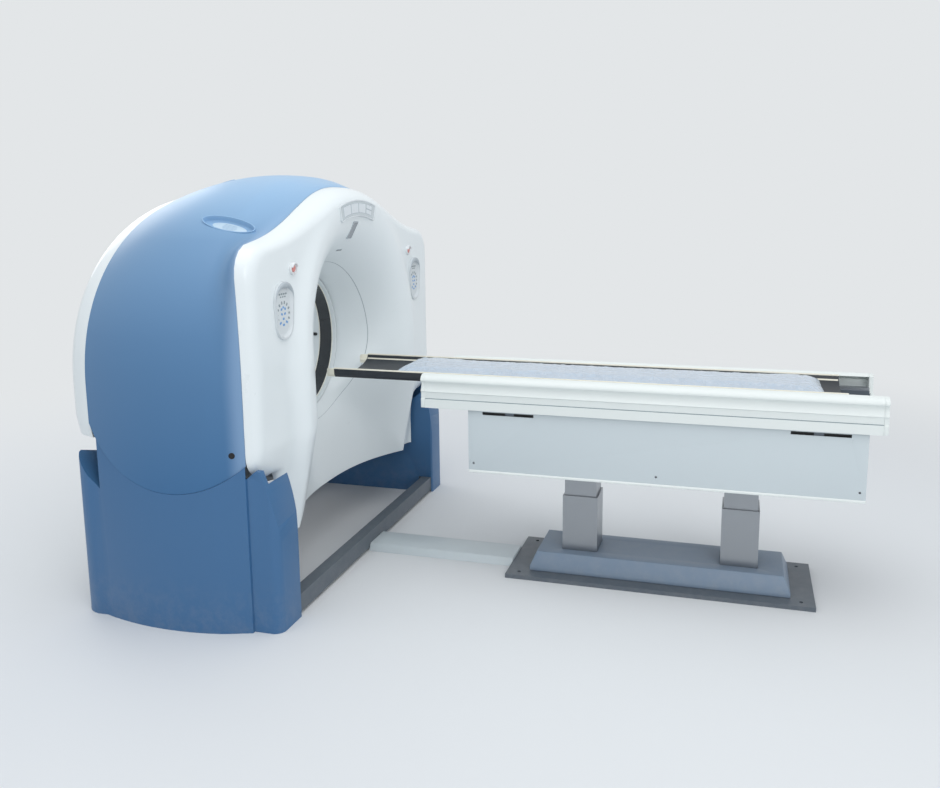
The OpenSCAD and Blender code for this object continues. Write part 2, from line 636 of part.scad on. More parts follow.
// Drive of the turning ring
pulley_r = 52;
pulley_angle = -45;
pulley_dist = drum_r + 125;
belt_t = 4;
belt_w = 30;
module at_pulley(depth) {
    translate([pulley_dist * cos(pulley_angle), -depth, iso_h + pulley_dist * sin(pulley_angle)])
        rotate([90, 0, 0]) children();
}
module ring_motor() {
    color([0.3, 0.33, 0.37]) difference() {
        at_pulley(-plate_y) cylinder(r = 72, h = 90, $fn = 64);
        at_pulley(-plate_y + 30) cylinder(r = 12 + fit, h = 100, $fn = 48);
    }
}
module motor_pulley() {
    color(steel) {
        at_pulley(-drum_back - drum_t + 2) cylinder(r = pulley_r, h = drum_t - 4, $fn = 64);
        at_pulley(-plate_y + 40) cylinder(r = 12, h = plate_y - 40 - drum_back - drum_t + 2, $fn = 48);
    }
}
module belt_loop(grow, h) {
    hull() {
        cylinder(r = (drum_r + grow) / cos(180 / face_fn), h = h, $fn = face_fn);
        rotate([0, 0, pulley_angle]) translate([pulley_dist, 0, 0])
            cylinder(r = (pulley_r + grow) / cos(180 / 48), h = h, $fn = 48);
    }
}
module drive_belt() {
    mid = drum_back + drum_t / 2;
    color(dark) about_bore() translate([0, 0, -mid - belt_w / 2]) difference() {
        belt_loop(touch + belt_t, belt_w);
        translate([0, 0, -1]) belt_loop(touch, belt_w + 2);
    }
}

// Tilt drive: a toothed sector on the frame and a pinion on the base
module_size = 2 * pinion_r / pinion_teeth;
sector_teeth = round(sector_r / module_size * 2);
function tooth(r, inward) = let(w = module_size * 1.3, tip = module_size * 0.52, d = inward ? -1 : 1)
    [[r - d * module_size * 1.15, -w / 2 * 1.22], [r, -w / 2], [r + d * module_size * 0.8, -tip / 2 * 1.1],
        [r + d * module_size * 0.8, tip / 2 * 1.1], [r, w / 2], [r - d * module_size * 1.15, w / 2 * 1.22]];
sector_span = 44;
module tilt_sector() {
    pitch = 360 / sector_teeth;
    n = floor(sector_span / pitch);
    root = sector_r - module_size * 1.15;
    color(steel) translate([-arm_out, 0, iso_h]) rotate([0, -90, 0]) linear_extrude(22) {
        difference() {
            intersection() {
                circle(r = root + 0.5, $fn = face_fn);
                polygon([[0, 0], for (a = [-sector_span - 3, -30, 0, 30, sector_span + 3])
                    [-2 * root * cos(a), 2 * root * sin(a)]]);
            }
            circle(r = tilt_shaft_d / 2 + 27, $fn = 64);
        }
        for (k = [-n:n]) rotate([0, 0, 180 + k * pitch]) polygon(tooth(sector_r, false));
    }
}
pinion_z = -(sector_r + pinion_r);
module tilt_pinion() {
    color(grey) translate([-arm_out - 1, 0, iso_h + pinion_z]) rotate([0, -90, 0]) {
        linear_extrude(20) {
            circle(r = pinion_r - module_size * 1.15 + 0.3, $fn = 48);
            for (k = [0:pinion_teeth - 1]) rotate([0, 0, (k + 0.5) * 360 / pinion_teeth])
                polygon(tooth(pinion_r, false));
        }
        cylinder(r = 12, h = upright_x + upright_t + 40 - arm_out, $fn = 48);
    }
}

// Turning ring with what it carries
module turning_ring() {
    color(grey) {
        difference() {
            turned([[400, -drum_back], [drum_r, -drum_back], [drum_r, -drum_back - drum_t],
                [400, -drum_back - drum_t]]);
            for (k = [0:7]) about_bore() rotate([0, 0, k * 45 + 22.5]) translate([640, 0, -drum_back - drum_t - 1])
                cylinder(r = 38, h = drum_t + 2, $fn = 32);
        }
        turned([[race_r - 40, -drum_back - drum_t], [race_r - 4, -drum_back - drum_t],
            [race_r - 4, -race_front], [race_r - 40, -race_front]]);
    }
}
module slip_ring() {
    color([0.72, 0.52, 0.3]) turned([for (p = [[470, 0], [540, 0], [540, 1], [470, 1]])
        [p[0], -mix(drum_back + drum_t, slip_back, p[1])]]);
}
module carried_box(x, z, w, h, front) {
    box(x - w / 2, x + w / 2, -front, drum_back, iso_h + z - h / 2, iso_h + z + h / 2);
}
module xray_tube() {
    color([0.78, 0.8, 0.82]) translate([0, drum_back, iso_h + focus_r + 58]) rotate([90, 0, 0]) {
        cylinder(r = 84, h = 150, $fn = 64);
        translate([0, 0, 150]) cylinder(r1 = 84, r2 = 58, h = 32, $fn = 64);
        rotate([0, 0, 90]) translate([60, -26, 30]) cube([70, 52, 90]);
    }
}
module collimator() {
    color([0.45, 0.48, 0.52]) difference() {
        carried_box(0, focus_r - 62, 180, 70, 44);
        box(-26, 26, -30, 30, iso_h + focus_r - 110, iso_h + focus_r);
    }
}
module detector() {
    color([0.2, 0.22, 0.26]) {
        translate([0, 48, iso_h + focus_r]) rotate([90, 0, 0]) rotate([0, 0, 270 - fan_angle / 2])
            rotate_extrude(angle = fan_angle, $fn = 2 * face_fn) translate([detector_r, 0]) square([44, 96]);
        for (x = [-220, 220]) box(x - 50, x + 50, 48, drum_back, iso_h - 440, iso_h - 400);
    }
}
module data_unit() {
    color([0.5, 0.53, 0.56]) difference() {
        carried_box(0, -610, 380, 150, 60);
        for (x = [-150:30:150]) box(x - 4, x + 4, -70, -48, iso_h - 670, iso_h - 550);
    }
}
module left_generator() {
    color([0.6, 0.63, 0.66]) carried_box(-590, 20, 190, 300, 66);
}
module right_generator() {
    color([0.6, 0.63, 0.66]) carried_box(590, 20, 190, 300, 66);
}
module heat_exchanger() {
    color([0.55, 0.58, 0.6]) difference() {
        carried_box(-420, 400, 230, 200, 60);
        translate([-420, -40, iso_h + 400]) rotate([90, 0, 0]) cylinder(r = 78, h = 40, $fn = 48);
    }
}
module power_unit() {
    color([0.5, 0.52, 0.55]) carried_box(420, 400, 230, 200, 60);
}

// Floor base of the gantry
pad_hw = 50;
rail_out = anchor_x / 2 + pad_hw;
rail_y = anchor_y / 2 + 30;
foot_t = 15;
module base_frame() {
    color([0.35, 0.38, 0.42]) difference() {
        union() {
            both_sides() {
                box(upright_x, rail_out, -rail_y, rail_y, foot_t, foot_t + rail_h);
                for (y = [-1, 1]) box(anchor_x / 2 - pad_hw, anchor_x / 2 + pad_hw, y * anchor_y / 2 - 30,
                    y * anchor_y / 2 + 30, 0, foot_t);
                translate([upright_x, 0, 0]) rotate([90, 0, 90]) linear_extrude(upright_t)
                    polygon([[-190, foot_t + rail_h], [190, foot_t + rail_h], [110, iso_h], [-90, iso_h],
                        [-90, iso_h - 0.72 * swing_front_r], [-40, iso_h - 0.84 * swing_front_r],
                        [-40, iso_h - swing_front_r]]);
                along_x(upright_x) cylinder(r = 110, h = upright_t, $fn = 64);
            }
            for (y = [-1, 1]) box(-upright_x, upright_x, y * anchor_y / 2 - 30, y * anchor_y / 2 + 30,
                foot_t, foot_t + rail_h);
        }
        both_sides() {
            along_x(upright_x - 1) cylinder(d = tilt_shaft_d + 40, h = upright_t + 2, $fn = 64);
            for (y = [-1, 1]) translate([anchor_x / 2, y * anchor_y / 2, -1])
                cylinder(d = anchor_d, h = foot_t + rail_h + 2, $fn = 32);
            translate([0, 0, iso_h + pinion_z]) rotate([0, 90, 0]) translate([0, 0, upright_x - 1])
                cylinder(r = 16, h = upright_t + 2, $fn = 48);
        }
    }
}
module tilt_bearings() {
    color([0.7, 0.7, 0.68]) both_sides() along_x(upright_x) difference() {
        cylinder(d = tilt_shaft_d + 40 - 2 * fit, h = upright_t, $fn = 64);
        translate([0, 0, -1]) cylinder(d = tilt_shaft_d + 2 * fit, h = upright_t + 2, $fn = 64);
    }
}
module tilt_gearmotor() {
    outer = upright_x + upright_t;
    color([0.3, 0.33, 0.37]) difference() {
        union() {
            box(-outer - 72, -outer, -60, 60, iso_h + pinion_z - 60, iso_h + pinion_z + 60);
            translate([-outer - 36, 0, iso_h + pinion_z - 300]) cylinder(r = 34, h = 240, $fn = 48);
        }
        translate([-outer - 72, 0, iso_h + pinion_z]) rotate([0, 90, 0]) translate([0, 0, 20])
            cylinder(r = 12 + fit, h = 80, $fn = 48);
    }
}

// Blue base covers: a foot on each side, hollowed where the flanks swing over it
base_steps = [for (k = [0:16]) mix(-seam_side, seam_rear - 20, k / 16)];
base_top = iso_h - side_edge_r + 240;
foot_round = 45;
foot_step = seam_side + touch;
function base_plan(t) = let(front = -base_front + t, back = base_back - t, in = base_in + t)
    concat([[in, back - 30], [in, front + 8], [in + 8, front]],
    [for (a = [0:15:90]) [front_hw - 4 - foot_round + (foot_round - t) * sin(a),
        front + (foot_round - t) * (1 - cos(a))]],
    [[front_hw - 4 - t, t - foot_step]],
    [for (y = base_steps) [skin_w(y + lip_roll) - t, y]],
    [for (a = [15:15:90]) [skin_w(seam_rear - 20) - 60 + (60 - t) * cos(a), back - 100 + 100 * sin(a)]]);
foot_top = iso_h - flank_drop + fin_h - 16;
fin_r = 506;
function foot_line(t) = [for (k = [0:8]) let(z = mix(foot_top - 360, foot_top - t, k / 8))
    [t - base_front + 64 * pow(k / 8, 2.2), z]];
module base_block(t) {
    swing_front = front_hw + 8 + t;
    swing_rear = section_w(seam_rear) + lip_out + 6 + t;
    difference() {
        translate([0, 0, -t]) linear_extrude(base_top) polygon(base_plan(t));
        along_x(0) cylinder(r = side_edge_r + seam_gap + t, h = 2 * half_w, $fn = face_fn);
        along_x(0) cylinder(r = swing_front_r + t, h = front_hw - 32 + t, $fn = face_fn);
        along_x(0) cylinder(r = fin_r + t, h = swing_front, $fn = face_fn);
        intersection() {
            along_x(0) cylinder(r = swing_rear_r + t, h = swing_rear, $fn = face_fn);
            box(0, swing_rear, 0, 800, 0, iso_h);
        }
        rotate([90, 0, 90]) linear_extrude(2 * half_w) polygon(concat([[-800, foot_top - 360]], foot_line(t),
            [[-foot_step, foot_top - t], [-foot_step, iso_h], [-800, iso_h]]));
        box(0, 2 * half_w, seam_rear - 20 - t, 800, iso_h - rear_drop - 12 - t, iso_h);
    }
}
module base_cover() {
    difference() {
        base_block(0);
        base_block(cover_wall);
        box(base_in - 1, upright_x + 1, -rail_y - 1, 1 - rail_y + 80, -1, foot_t + rail_h + touch);
        box(base_in - 1, upright_x + 1, rail_y - 81, rail_y + 1, -1, foot_t + rail_h + touch);
        box(upright_x - 1, upright_x + upright_t + 80, -192, 192, foot_t + rail_h, iso_h);
    }
}
module right_base_cover() {
    color(deep_blue) base_cover();
}
module left_base_cover() {
    color(deep_blue) mirror([1, 0, 0]) base_cover();
}

// Table, from the floor up
top_y0 = -top_gap;
top_y1 = -top_gap - top_l;
side_y0 = -side_gap;
side_y1 = -side_gap - side_l;
column_mid = (side_y0 + side_y1) / 2;
column_ys = [column_mid - column_gap / 2, column_mid + column_gap / 2];
plate_h = 20;
deck_z = cradle_h - 100;
tube_gap = 0.4;
stroke_half = lift_travel / 2;
outer_top = deck_z - lift_travel - 2;
middle_l = outer_top - plate_h - 10;
table_hw = table_w / 2;
module tube(w, z0, z1) {
    for (y = column_ys) difference() {
        box(-w / 2, w / 2, y - w / 2, y + w / 2, z0, z1);
        box(tube_wall - w / 2, w / 2 - tube_wall, y - w / 2 + tube_wall, y + w / 2 - tube_wall, z0 - 1, z1 + 1);
    }
}
module table_base() {
    hw = table_anchor_x / 2 + 45;
    hl = table_anchor_y / 2 + 60;
    color([0.35, 0.38, 0.42]) difference() {
        box(-hw, hw, column_mid - hl, column_mid + hl, 0, plate_h);
        for (x = [-1, 1]) for (y = [-1, 1])
            translate([x * table_anchor_x / 2, column_mid + y * table_anchor_y / 2, -1])
                cylinder(d = anchor_d, h = plate_h + 2, $fn = 32);
    }
}
module floor_duct() {
    y0 = -rail_y - touch;
    y1 = column_mid + table_anchor_y / 2 + 60 + touch;
    color(grey) translate([0, y0, 0]) rotate([90, 0, 0]) linear_extrude(y0 - y1)
        polygon([[-110, 0], [110, 0], [84, 34], [-84, 34]]);
}
module table_base_cover() {
    hw = table_anchor_x / 2 - 25;
    hl = table_anchor_y / 2 - 45;
    color([0.42, 0.5, 0.6]) difference() {
        hull() for (s = [[0, 0], [30, 70]]) translate([0, column_mid, plate_h])
            linear_extrude(20 + s[1]) square([2 * (hw - s[0]), 2 * (hl - s[0])], center = true);
        for (y = column_ys) box(-column_w / 2 - touch, column_w / 2 + touch, y - column_w / 2 - touch,
            y + column_w / 2 + touch, 0, 400);
    }
}
module lift_outer_tubes() {
    color(steel) tube(column_w, plate_h, outer_top);
}
middle_w = column_w - 2 * tube_wall - 2 * tube_gap;
module lift_middle_tubes() {
    color([0.62, 0.64, 0.67]) tube(middle_w, plate_h + 10 + stroke_half, plate_h + 10 + stroke_half + middle_l);
}
inner_w = middle_w - 2 * tube_wall - 2 * tube_gap;
module lift_inner_tubes() {
    color([0.68, 0.7, 0.73]) tube(inner_w, plate_h + 10 + lift_travel, deck_z);
}
panel_out = table_hw - 20;
panel_top = cradle_h - fascia_h;
panel_low = panel_top - skirt_panel_h + 6;
end_low_h = 170;
module side_panels() {
    color(ice) {
        both_sides() difference() {
            box(panel_out - panel_wall, panel_out, side_y1, side_y0, panel_low, panel_top + 8);
            for (y = [side_y0 - 70 - slot_l, side_y1 + 70])
                box(panel_out - 10, panel_out + 10, y, y + slot_l, panel_top - 22, panel_top - 8);
        }
        for (y = [side_y0 - panel_wall, side_y1])
            box(panel_wall - panel_out, panel_out - panel_wall, y, y + panel_wall, panel_low, panel_low + end_low_h);
    }
}
beam_in = 150;
beam_out = 200;
beam_top = cradle_h - 60;
beam_low = cradle_h - 130;
module table_frame() {
    color([0.5, 0.53, 0.56]) {
        both_sides() box(beam_in, beam_out, top_y1 + 24, top_y0 - 24, beam_low, beam_top);
        for (y = [top_y0 - 130, column_ys[0], column_mid, column_ys[1], top_y1 + 90])
            box(-beam_in, beam_in, y - 70, y + 70, deck_z, deck_z + 16);
        both_sides() for (y = [side_y0 - 200, column_mid, side_y1 + 200]) {
            box(beam_out, table_hw - panel_wall - 12.3, y - 20, y + 20, beam_top - 12, beam_top);
            box(panel_out - panel_wall - 15, panel_out - panel_wall - 0.5, y - 20, y + 20,
                panel_low + 60, beam_top - 12);
        }
    }
}
rail_t = 12;
module guide_rails() {
    color([0.75, 0.77, 0.8]) both_sides()
        box(beam_in + 10, beam_out - 10, top_y1 + 24, top_y0 - 24, beam_top, beam_top + rail_t);
}
// Profile of the left and right fascia: a round rail, a cove and two flat bands
function fascia_profile(t) = let(w = table_hw - t, h = cradle_h) [
    [w - 62, h - 4 - t], [w - 46, h + 3 - t], [w - 26, h + 2 - t], [w - 10, h - 6 - t], [w - 1, h - 18 - t / 2],
    [w, h - 27 + t / 2], [w - 14, h - 31 + t / 2], [w - 16, h - 44], [w - 10, h - 62], [w - 2, h - 77 + t / 2],
    [w - 8, h - 81 + t / 2], [w - 8, h - 112], [w - 4, h - 114], [w - 4, h - fascia_h]];
module fascia() {
    translate([0, top_y0 - 20, 0]) rotate([90, 0, 0]) linear_extrude(top_l - 40)
        polygon(concat(fascia_profile(0), reversed(fascia_profile(panel_wall))));
}
module right_fascia() {
    color(white) fascia();
}
module left_fascia() {
    color(white) mirror([1, 0, 0]) fascia();
}
module table_end_caps() {
    color(white) for (y = [[top_y0 - 20 + touch, top_y0], [top_y1, top_y1 + 20 - touch]]) difference() {
        translate([0, y[1], 0]) rotate([90, 0, 0]) linear_extrude(y[1] - y[0])
            polygon(concat(fascia_profile(0), [for (p = reversed(fascia_profile(0))) [-p[0], p[1]]]));
        box(-cradle_w / 2 - 4, cradle_w / 2 + 4, y[0] - 1, y[1] + 1, cradle_h - 78, cradle_h + 40);
    }
}
module cradle_drive() {
    color([0.28, 0.3, 0.33]) {
        box(-60, 60, column_mid - 60, column_mid + 60, deck_z - 90, deck_z);
        translate([60, column_mid, deck_z - 45]) rotate([0, 90, 0]) cylinder(r = 34, h = 80, $fn = 48);
    }
}
run_z = beam_top + rail_t + touch;
cradle_hw = cradle_w / 2;
function cradle_under() = [[0, cradle_h - 74], [60, cradle_h - 72], [110, cradle_h - 64], [beam_in - 8, run_z + 1],
    [beam_in + 4, run_z], [beam_out, run_z], [cradle_hw - 2, cradle_h - 34], [cradle_hw, cradle_h - 6]];
function cradle_upper() = [[cradle_hw - 12, cradle_h - 6], [cradle_hw - 24, cradle_h - 24],
    [cradle_hw - 60, cradle_h - 40], [100, cradle_h - 51], [50, cradle_h - 57], [0, cradle_h - 59]];
function cradle_half() = concat(cradle_under(), cradle_upper());
module cradle_run(length) {
    rotate([90, 0, 0]) linear_extrude(length) polygon(concat(cradle_half(),
        [for (k = [len(cradle_half()) - 2:-1:1]) [-cradle_half()[k][0], cradle_half()[k][1]]]));
}
cradle_y0 = -cradle_gap;
cradle_y1 = -cradle_gap - cradle_l;
module cradle() {
    color([0.16, 0.18, 0.2]) translate([0, cradle_y0 - tip_l, 0]) cradle_run(cradle_l - tip_l);
}
module cradle_tip() {
    y1 = cradle_y0 - tip_l;
    color(cream) both_sides() intersection() {
        translate([0, cradle_y0, 0]) cradle_run(tip_l);
        linear_extrude(2 * cradle_h) polygon([[cradle_hw - 36, y1], [cradle_hw, y1],
            [cradle_hw, y1 + tip_l * 0.5], [cradle_hw - 12, cradle_y0], [cradle_hw - 20, cradle_y0],
            [cradle_hw - 36, y1 + tip_l * 0.7]]);
    }
}
module cradle_edges() {
    color(cream) both_sides()
        box(cradle_hw - 12, cradle_hw, cradle_y1, cradle_y0 - tip_l, cradle_h - 6, cradle_h);
}
module mattress() {
    low = [for (p = reversed(cradle_upper())) if (p[0] < cradle_hw - 20) p + [0, touch]];
    rise = cradle_h - 59 + pad_t;
    top = [[cradle_hw - 24, cradle_h - 16], [cradle_hw - 26, rise - 12], [cradle_hw - 40, rise - 3], [0, rise]];
    half = concat(low, top);
    color(pad_blue) translate([0, cradle_y1 + pad_l + 80, 0]) rotate([90, 0, 0]) linear_extrude(pad_l)
        polygon(concat(half, [for (k = [len(half) - 2:-1:1]) [-half[k][0], half[k][1]]]));
}

front_cover();
left_side_cover();
right_side_cover();
rear_cover();
front_bore_ring();
light_rings();
scan_window();
rear_bore_liner();
rear_flare();
display_panel();
laser_windows();
left_control_panel();
right_control_panel();
panel_keys();
stop_housings();
left_stop_button();
right_stop_button();
shoulder_vents();
tilt_frame();
bearing_outer_race();
brush_block();
ring_motor();
drive_belt();
tilt_sector();
turning_ring();
bearing_inner_race();
slip_ring();
xray_tube();
collimator();
detector();
data_unit();
left_generator();
right_generator();
heat_exchanger();
power_unit();
motor_pulley();
tilt_pinion();
base_frame();
tilt_bearings();
tilt_gearmotor();
left_base_cover();
right_base_cover();
table_base();
table_base_cover();
lift_outer_tubes();
lift_middle_tubes();
lift_inner_tubes();
side_panels();
table_frame();
guide_rails();
left_fascia();
right_fascia();
table_end_caps();
cradle_drive();
cradle();
cradle_tip();
cradle_edges();
mattress();
dome_caps();
floor_duct();
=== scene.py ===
"""Dressed model of a CT scanner: its tilting gantry, floor base and patient table."""

import math

import bpy
import numpy as np
from bpy.props import FloatProperty, FloatVectorProperty, IntProperty, PointerProperty
from bpy.types import Operator, Panel, PropertyGroup
from mathutils import Matrix, Vector, noise


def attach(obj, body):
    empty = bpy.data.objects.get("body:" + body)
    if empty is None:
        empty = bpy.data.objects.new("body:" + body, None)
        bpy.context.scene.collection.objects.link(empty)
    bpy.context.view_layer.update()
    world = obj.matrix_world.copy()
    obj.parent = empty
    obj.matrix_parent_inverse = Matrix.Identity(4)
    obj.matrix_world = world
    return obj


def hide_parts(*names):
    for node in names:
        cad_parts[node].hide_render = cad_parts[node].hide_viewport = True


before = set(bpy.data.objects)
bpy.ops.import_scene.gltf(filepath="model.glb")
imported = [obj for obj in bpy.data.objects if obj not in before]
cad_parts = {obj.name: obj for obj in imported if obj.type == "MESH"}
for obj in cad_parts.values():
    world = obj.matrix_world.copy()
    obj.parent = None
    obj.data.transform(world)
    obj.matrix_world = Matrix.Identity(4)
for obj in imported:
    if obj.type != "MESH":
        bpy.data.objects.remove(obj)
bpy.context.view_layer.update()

bl_info = {
    "name": "CT Scanner",
    "version": (1, 0, 0),
    "blender": (4, 5, 0),
    "location": "View3D > Sidebar > Scanner",
    "description": "Builds the covers, controls, table and pad of a CT scanner round its packed parts",
    "category": "Object",
}


def tint(code):
    """A screen colour such as 8fb3d9 as the linear values that Blender works in."""
    parts = [int(code[k : k + 2], 16) / 255 for k in (0, 2, 4)]
    return [p / 12.92 if p < 0.04045 else ((p + 0.055) / 1.055) ** 2.4 for p in parts]


def colour(label, text, code):
    return FloatVectorProperty(
        name=label, description=text, default=tint(code), subtype="COLOR", size=3, min=0, max=1
    )


def length(label, text, metres):
    return FloatProperty(name=label, description=text, default=metres, unit="LENGTH", min=0)


class CoverSettings(PropertyGroup):
    white: colour("Front white", "Gloss white of the front and rear covers", "e9f0f2")
    # The change from the low to the high side blue is painted light: the high blue is the lit top of the dome,
    # the low blue the shaded side below it.
    blue_painted_light_top: colour("Side blue, high", "Side covers near the top of the dome", "9abfe0")
    blue_painted_shade_low: colour("Side blue, low", "Side covers near the floor", "366a99")
    # The lip blue is a painted highlight: the rolled front edge lit from the front.
    lip: colour("Side blue, lip", "Rolled front edge of the side covers", "a3bfdf")
    base_blue: colour("Base blue", "Covers of the floor base", "3f6c98")
    wall: length("Wall", "Thickness of the moulded covers", 0.006)
    edge: length("Edge", "Radius on the edges of moulded parts", 0.003)


class BoreSettings(PropertyGroup):
    ring: colour("Bore white", "Rings and liner of the patient bore", "dfe6e8")
    window: colour("Scan window", "Dark window band that the beam passes", "23272c")
    steps: IntProperty(name="Steps", description="Facets round the bore", default=192, min=48, max=512)


class ControlSettings(PropertyGroup):
    # Darker than the dish, this grey is painted shade: it stands for the shadow on the dish's upper wall.
    hood: colour("Hood", "Surround of the control panels", "b4bdc3")
    dish: colour("Dish", "Sunk face of the control panels", "d7dde0")
    key: colour("Grey keys", "Small keys in the arc", "8b979c")
    blue_key: colour("Blue keys", "Table and tilt keys", "6f9fd0")
    stop: colour("Stop buttons", "Caps of the emergency stops", "d98c86")
    glass: colour("Display", "Smoked pane of the gantry display", "c3cdd1")


class TableSettings(PropertyGroup):
    white: colour("Table white", "Side mouldings of the table top", "e6ecea")
    cream: colour("Rail cream", "Rails and tips of the cradle", "e9e6d6")
    cradle: colour("Cradle", "Carbon shell that carries the pad", "2b3036")
    pad: colour("Pad", "Vinyl of the pad under its clear cover", "b8c8d8")
    crinkle: length("Crinkle", "Depth of the folds in the clear cover", 0.0035)


class StageSettings(PropertyGroup):
    floor: colour("Floor", "Plain floor and backdrop", "e3e6e8")
    lens: FloatProperty(name="Lens", description="Focal length of the camera in mm", default=33.6, min=10)


# Node groups shared by the finishes

FLOAT, COLOUR, VECTOR = "NodeSocketFloat", "NodeSocketColor", "NodeSocketVector"


def feed(tree, node, values):
    """Gives a node's inputs plain values, or links them to the sockets given instead."""
    for key, value in dict(values).items():
        if isinstance(value, bpy.types.NodeSocket):
            tree.links.new(value, node.inputs[key])
        else:
            node.inputs[key].default_value = value
    return node


def add(tree, kind, values=(), **settings):
    node = tree.nodes.new(kind)
    for key, value in settings.items():
        setattr(node, key, value)
    return feed(tree, node, values)


def maths(tree, operation, a, b):
    return add(tree, "ShaderNodeMath", {0: a, 1: b}, operation=operation).outputs[0]


def clouds(tree, place, **inputs):
    return add(tree, "ShaderNodeTexNoise", {"Vector": place, **inputs}).outputs["Fac"]


def remap(tree, value, low, high, first=0, last=1, **settings):
    """A value that runs from low to high, carried over to the span from first to last."""
    values = {"Value": value, "From Min": low, "From Max": high, "To Min": first, "To Max": last}
    return add(tree, "ShaderNodeMapRange", values, **settings).outputs["Result"]


def blend(tree, share, a, b):
    return add(tree, "ShaderNodeMix", {"Factor": share, "A": a, "B": b}, data_type="RGBA").outputs["Result"]


def ramp(tree, value, stops):
    """A value turned into the greys or colours of its stops."""
    node = add(tree, "ShaderNodeValToRGB", {"Fac": value})
    while len(node.color_ramp.elements) < len(stops):
        node.color_ramp.elements.new(0.5)
    for element, (position, shade) in zip(node.color_ramp.elements, stops):
        element.position = position
        element.color = (*shade, 1) if hasattr(shade, "__len__") else (shade, shade, shade, 1)
    return node.outputs["Color"]


def new_group(name, inputs, outputs):
    """An empty shader group with named sockets, what it is given and its end."""
    group = bpy.data.node_groups.new(name, "ShaderNodeTree")
    for label, kind, value in inputs:
        socket = group.interface.new_socket(name=label, in_out="INPUT", socket_type=kind)
        if value is not None:
            socket.default_value = value
    for label, kind in outputs:
        group.interface.new_socket(name=label, in_out="OUTPUT", socket_type=kind)
    return group, group.nodes.new("NodeGroupInput").outputs, group.nodes.new("NodeGroupOutput")


def tone_group():
    """Slow drift of a colour over a piece, as moulding and handling leave it."""
    group, given, end = new_group(
        "Tone Drift",
        [("Vector", VECTOR, None), ("Color", COLOUR, None), ("Drift", FLOAT, 0.04), ("Scale", FLOAT, 2.5)],
        [("Color", COLOUR)],
    )
    cloud = clouds(group, given["Vector"], Scale=given["Scale"], Detail=4, Roughness=0.55)
    swing = maths(group, "MULTIPLY", maths(group, "SUBTRACT", cloud, 0.5), given["Drift"])
    level = maths(group, "ADD", swing, 1)
    shade = add(group, "ShaderNodeHueSaturation", {"Value": level, "Color": given["Color"]})
    feed(group, end, {"Color": shade.outputs["Color"]})
    return group


def grain_group():
    """Fine moulded or painted grain: a height for the bump and a mask for the gloss."""
    group, given, end = new_group(
        "Moulded Grain",
        [("Vector", VECTOR, None), ("Size", FLOAT, 900.0), ("Waviness", FLOAT, 0.3)],
        [("Height", FLOAT), ("Mask", FLOAT)],
    )
    fine = clouds(group, given["Vector"], Scale=given["Size"], Detail=3, Roughness=0.6)
    slow = clouds(group, given["Vector"], Scale=14, Detail=2)
    smear = clouds(group, given["Vector"], Scale=5, Detail=6, Roughness=0.7)
    wave = maths(group, "MULTIPLY", slow, given["Waviness"])
    feed(group, end, {"Height": maths(group, "ADD", fine, wave), "Mask": smear})
    return group


def dust_group():
    """Scuffs and dust that gather on the lowest part of a piece near the floor."""
    group, given, end = new_group(
        "Floor Dust",
        [("Vector", VECTOR, None), ("Color", COLOUR, None), ("Dust", COLOUR, None),
         ("Reach", FLOAT, 0.25), ("Amount", FLOAT, 0.3)],
        [("Color", COLOUR), ("Mask", FLOAT)],
    )
    height = add(group, "ShaderNodeSeparateXYZ", {0: given["Vector"]}).outputs["Z"]
    fade = remap(group, height, 0, given["Reach"], 1, 0)
    patch = clouds(group, given["Vector"], Scale=18, Detail=6, Roughness=0.7)
    cover = maths(group, "MULTIPLY", fade, ramp(group, patch, [(0.42, 0), (0.66, 1)]))
    share = maths(group, "MULTIPLY", cover, given["Amount"])
    feed(group, end, {"Color": blend(group, share, given["Color"], given["Dust"]), "Mask": share})
    return group


def wear_group():
    """Lighter rubbed edges, found from how sharply the surface turns."""
    group, given, end = new_group(
        "Edge Wear",
        [("Vector", VECTOR, None), ("Color", COLOUR, None), ("Worn", COLOUR, None), ("Amount", FLOAT, 0.4)],
        [("Color", COLOUR), ("Mask", FLOAT)],
    )
    edge = ramp(group, add(group, "ShaderNodeNewGeometry").outputs["Pointiness"], [(0.51, 0), (0.58, 1)])
    broken = ramp(group, clouds(group, given["Vector"], Scale=40, Detail=5), [(0.4, 0), (0.6, 1)])
    share = maths(group, "MULTIPLY", maths(group, "MULTIPLY", edge, broken), given["Amount"])
    feed(group, end, {"Color": blend(group, share, given["Color"], given["Worn"]), "Mask": share})
    return group


GROUPS = {
    "Tone Drift": tone_group, "Moulded Grain": grain_group, "Floor Dust": dust_group, "Edge Wear": wear_group,
}


def placed(tree, name, values):
    """The outputs of a shared group that is put into a tree."""
    group = bpy.data.node_groups.get(name) or GROUPS[name]()
    return add(tree, "ShaderNodeGroup", values, node_tree=group).outputs


def new_material(name):
    made = bpy.data.materials.new(name)
    made.use_nodes = True
    tree = made.node_tree
    return made, tree, tree.nodes["Principled BSDF"], add(tree, "ShaderNodeTexCoord").outputs["Object"]


# Painted light on the side covers: between these heights the colour goes from the shaded low blue to the lit
# high blue.
PAINTED_LIGHT_FROM, PAINTED_LIGHT_TO = 0.6, 1.9
PAINTED_LIGHT_STOPS = ((0, 0), (0.5, 0.2), (0.8, 0.45), (1, 1))
# Band just behind the front seam that takes the painted highlight of the lip colour, and its share.
LIP_HIGHLIGHT_FRONT, LIP_HIGHLIGHT_END, LIP_HIGHLIGHT_SHARE = -0.305, -0.235, 0.4
DUST = tint("b9b6ae")


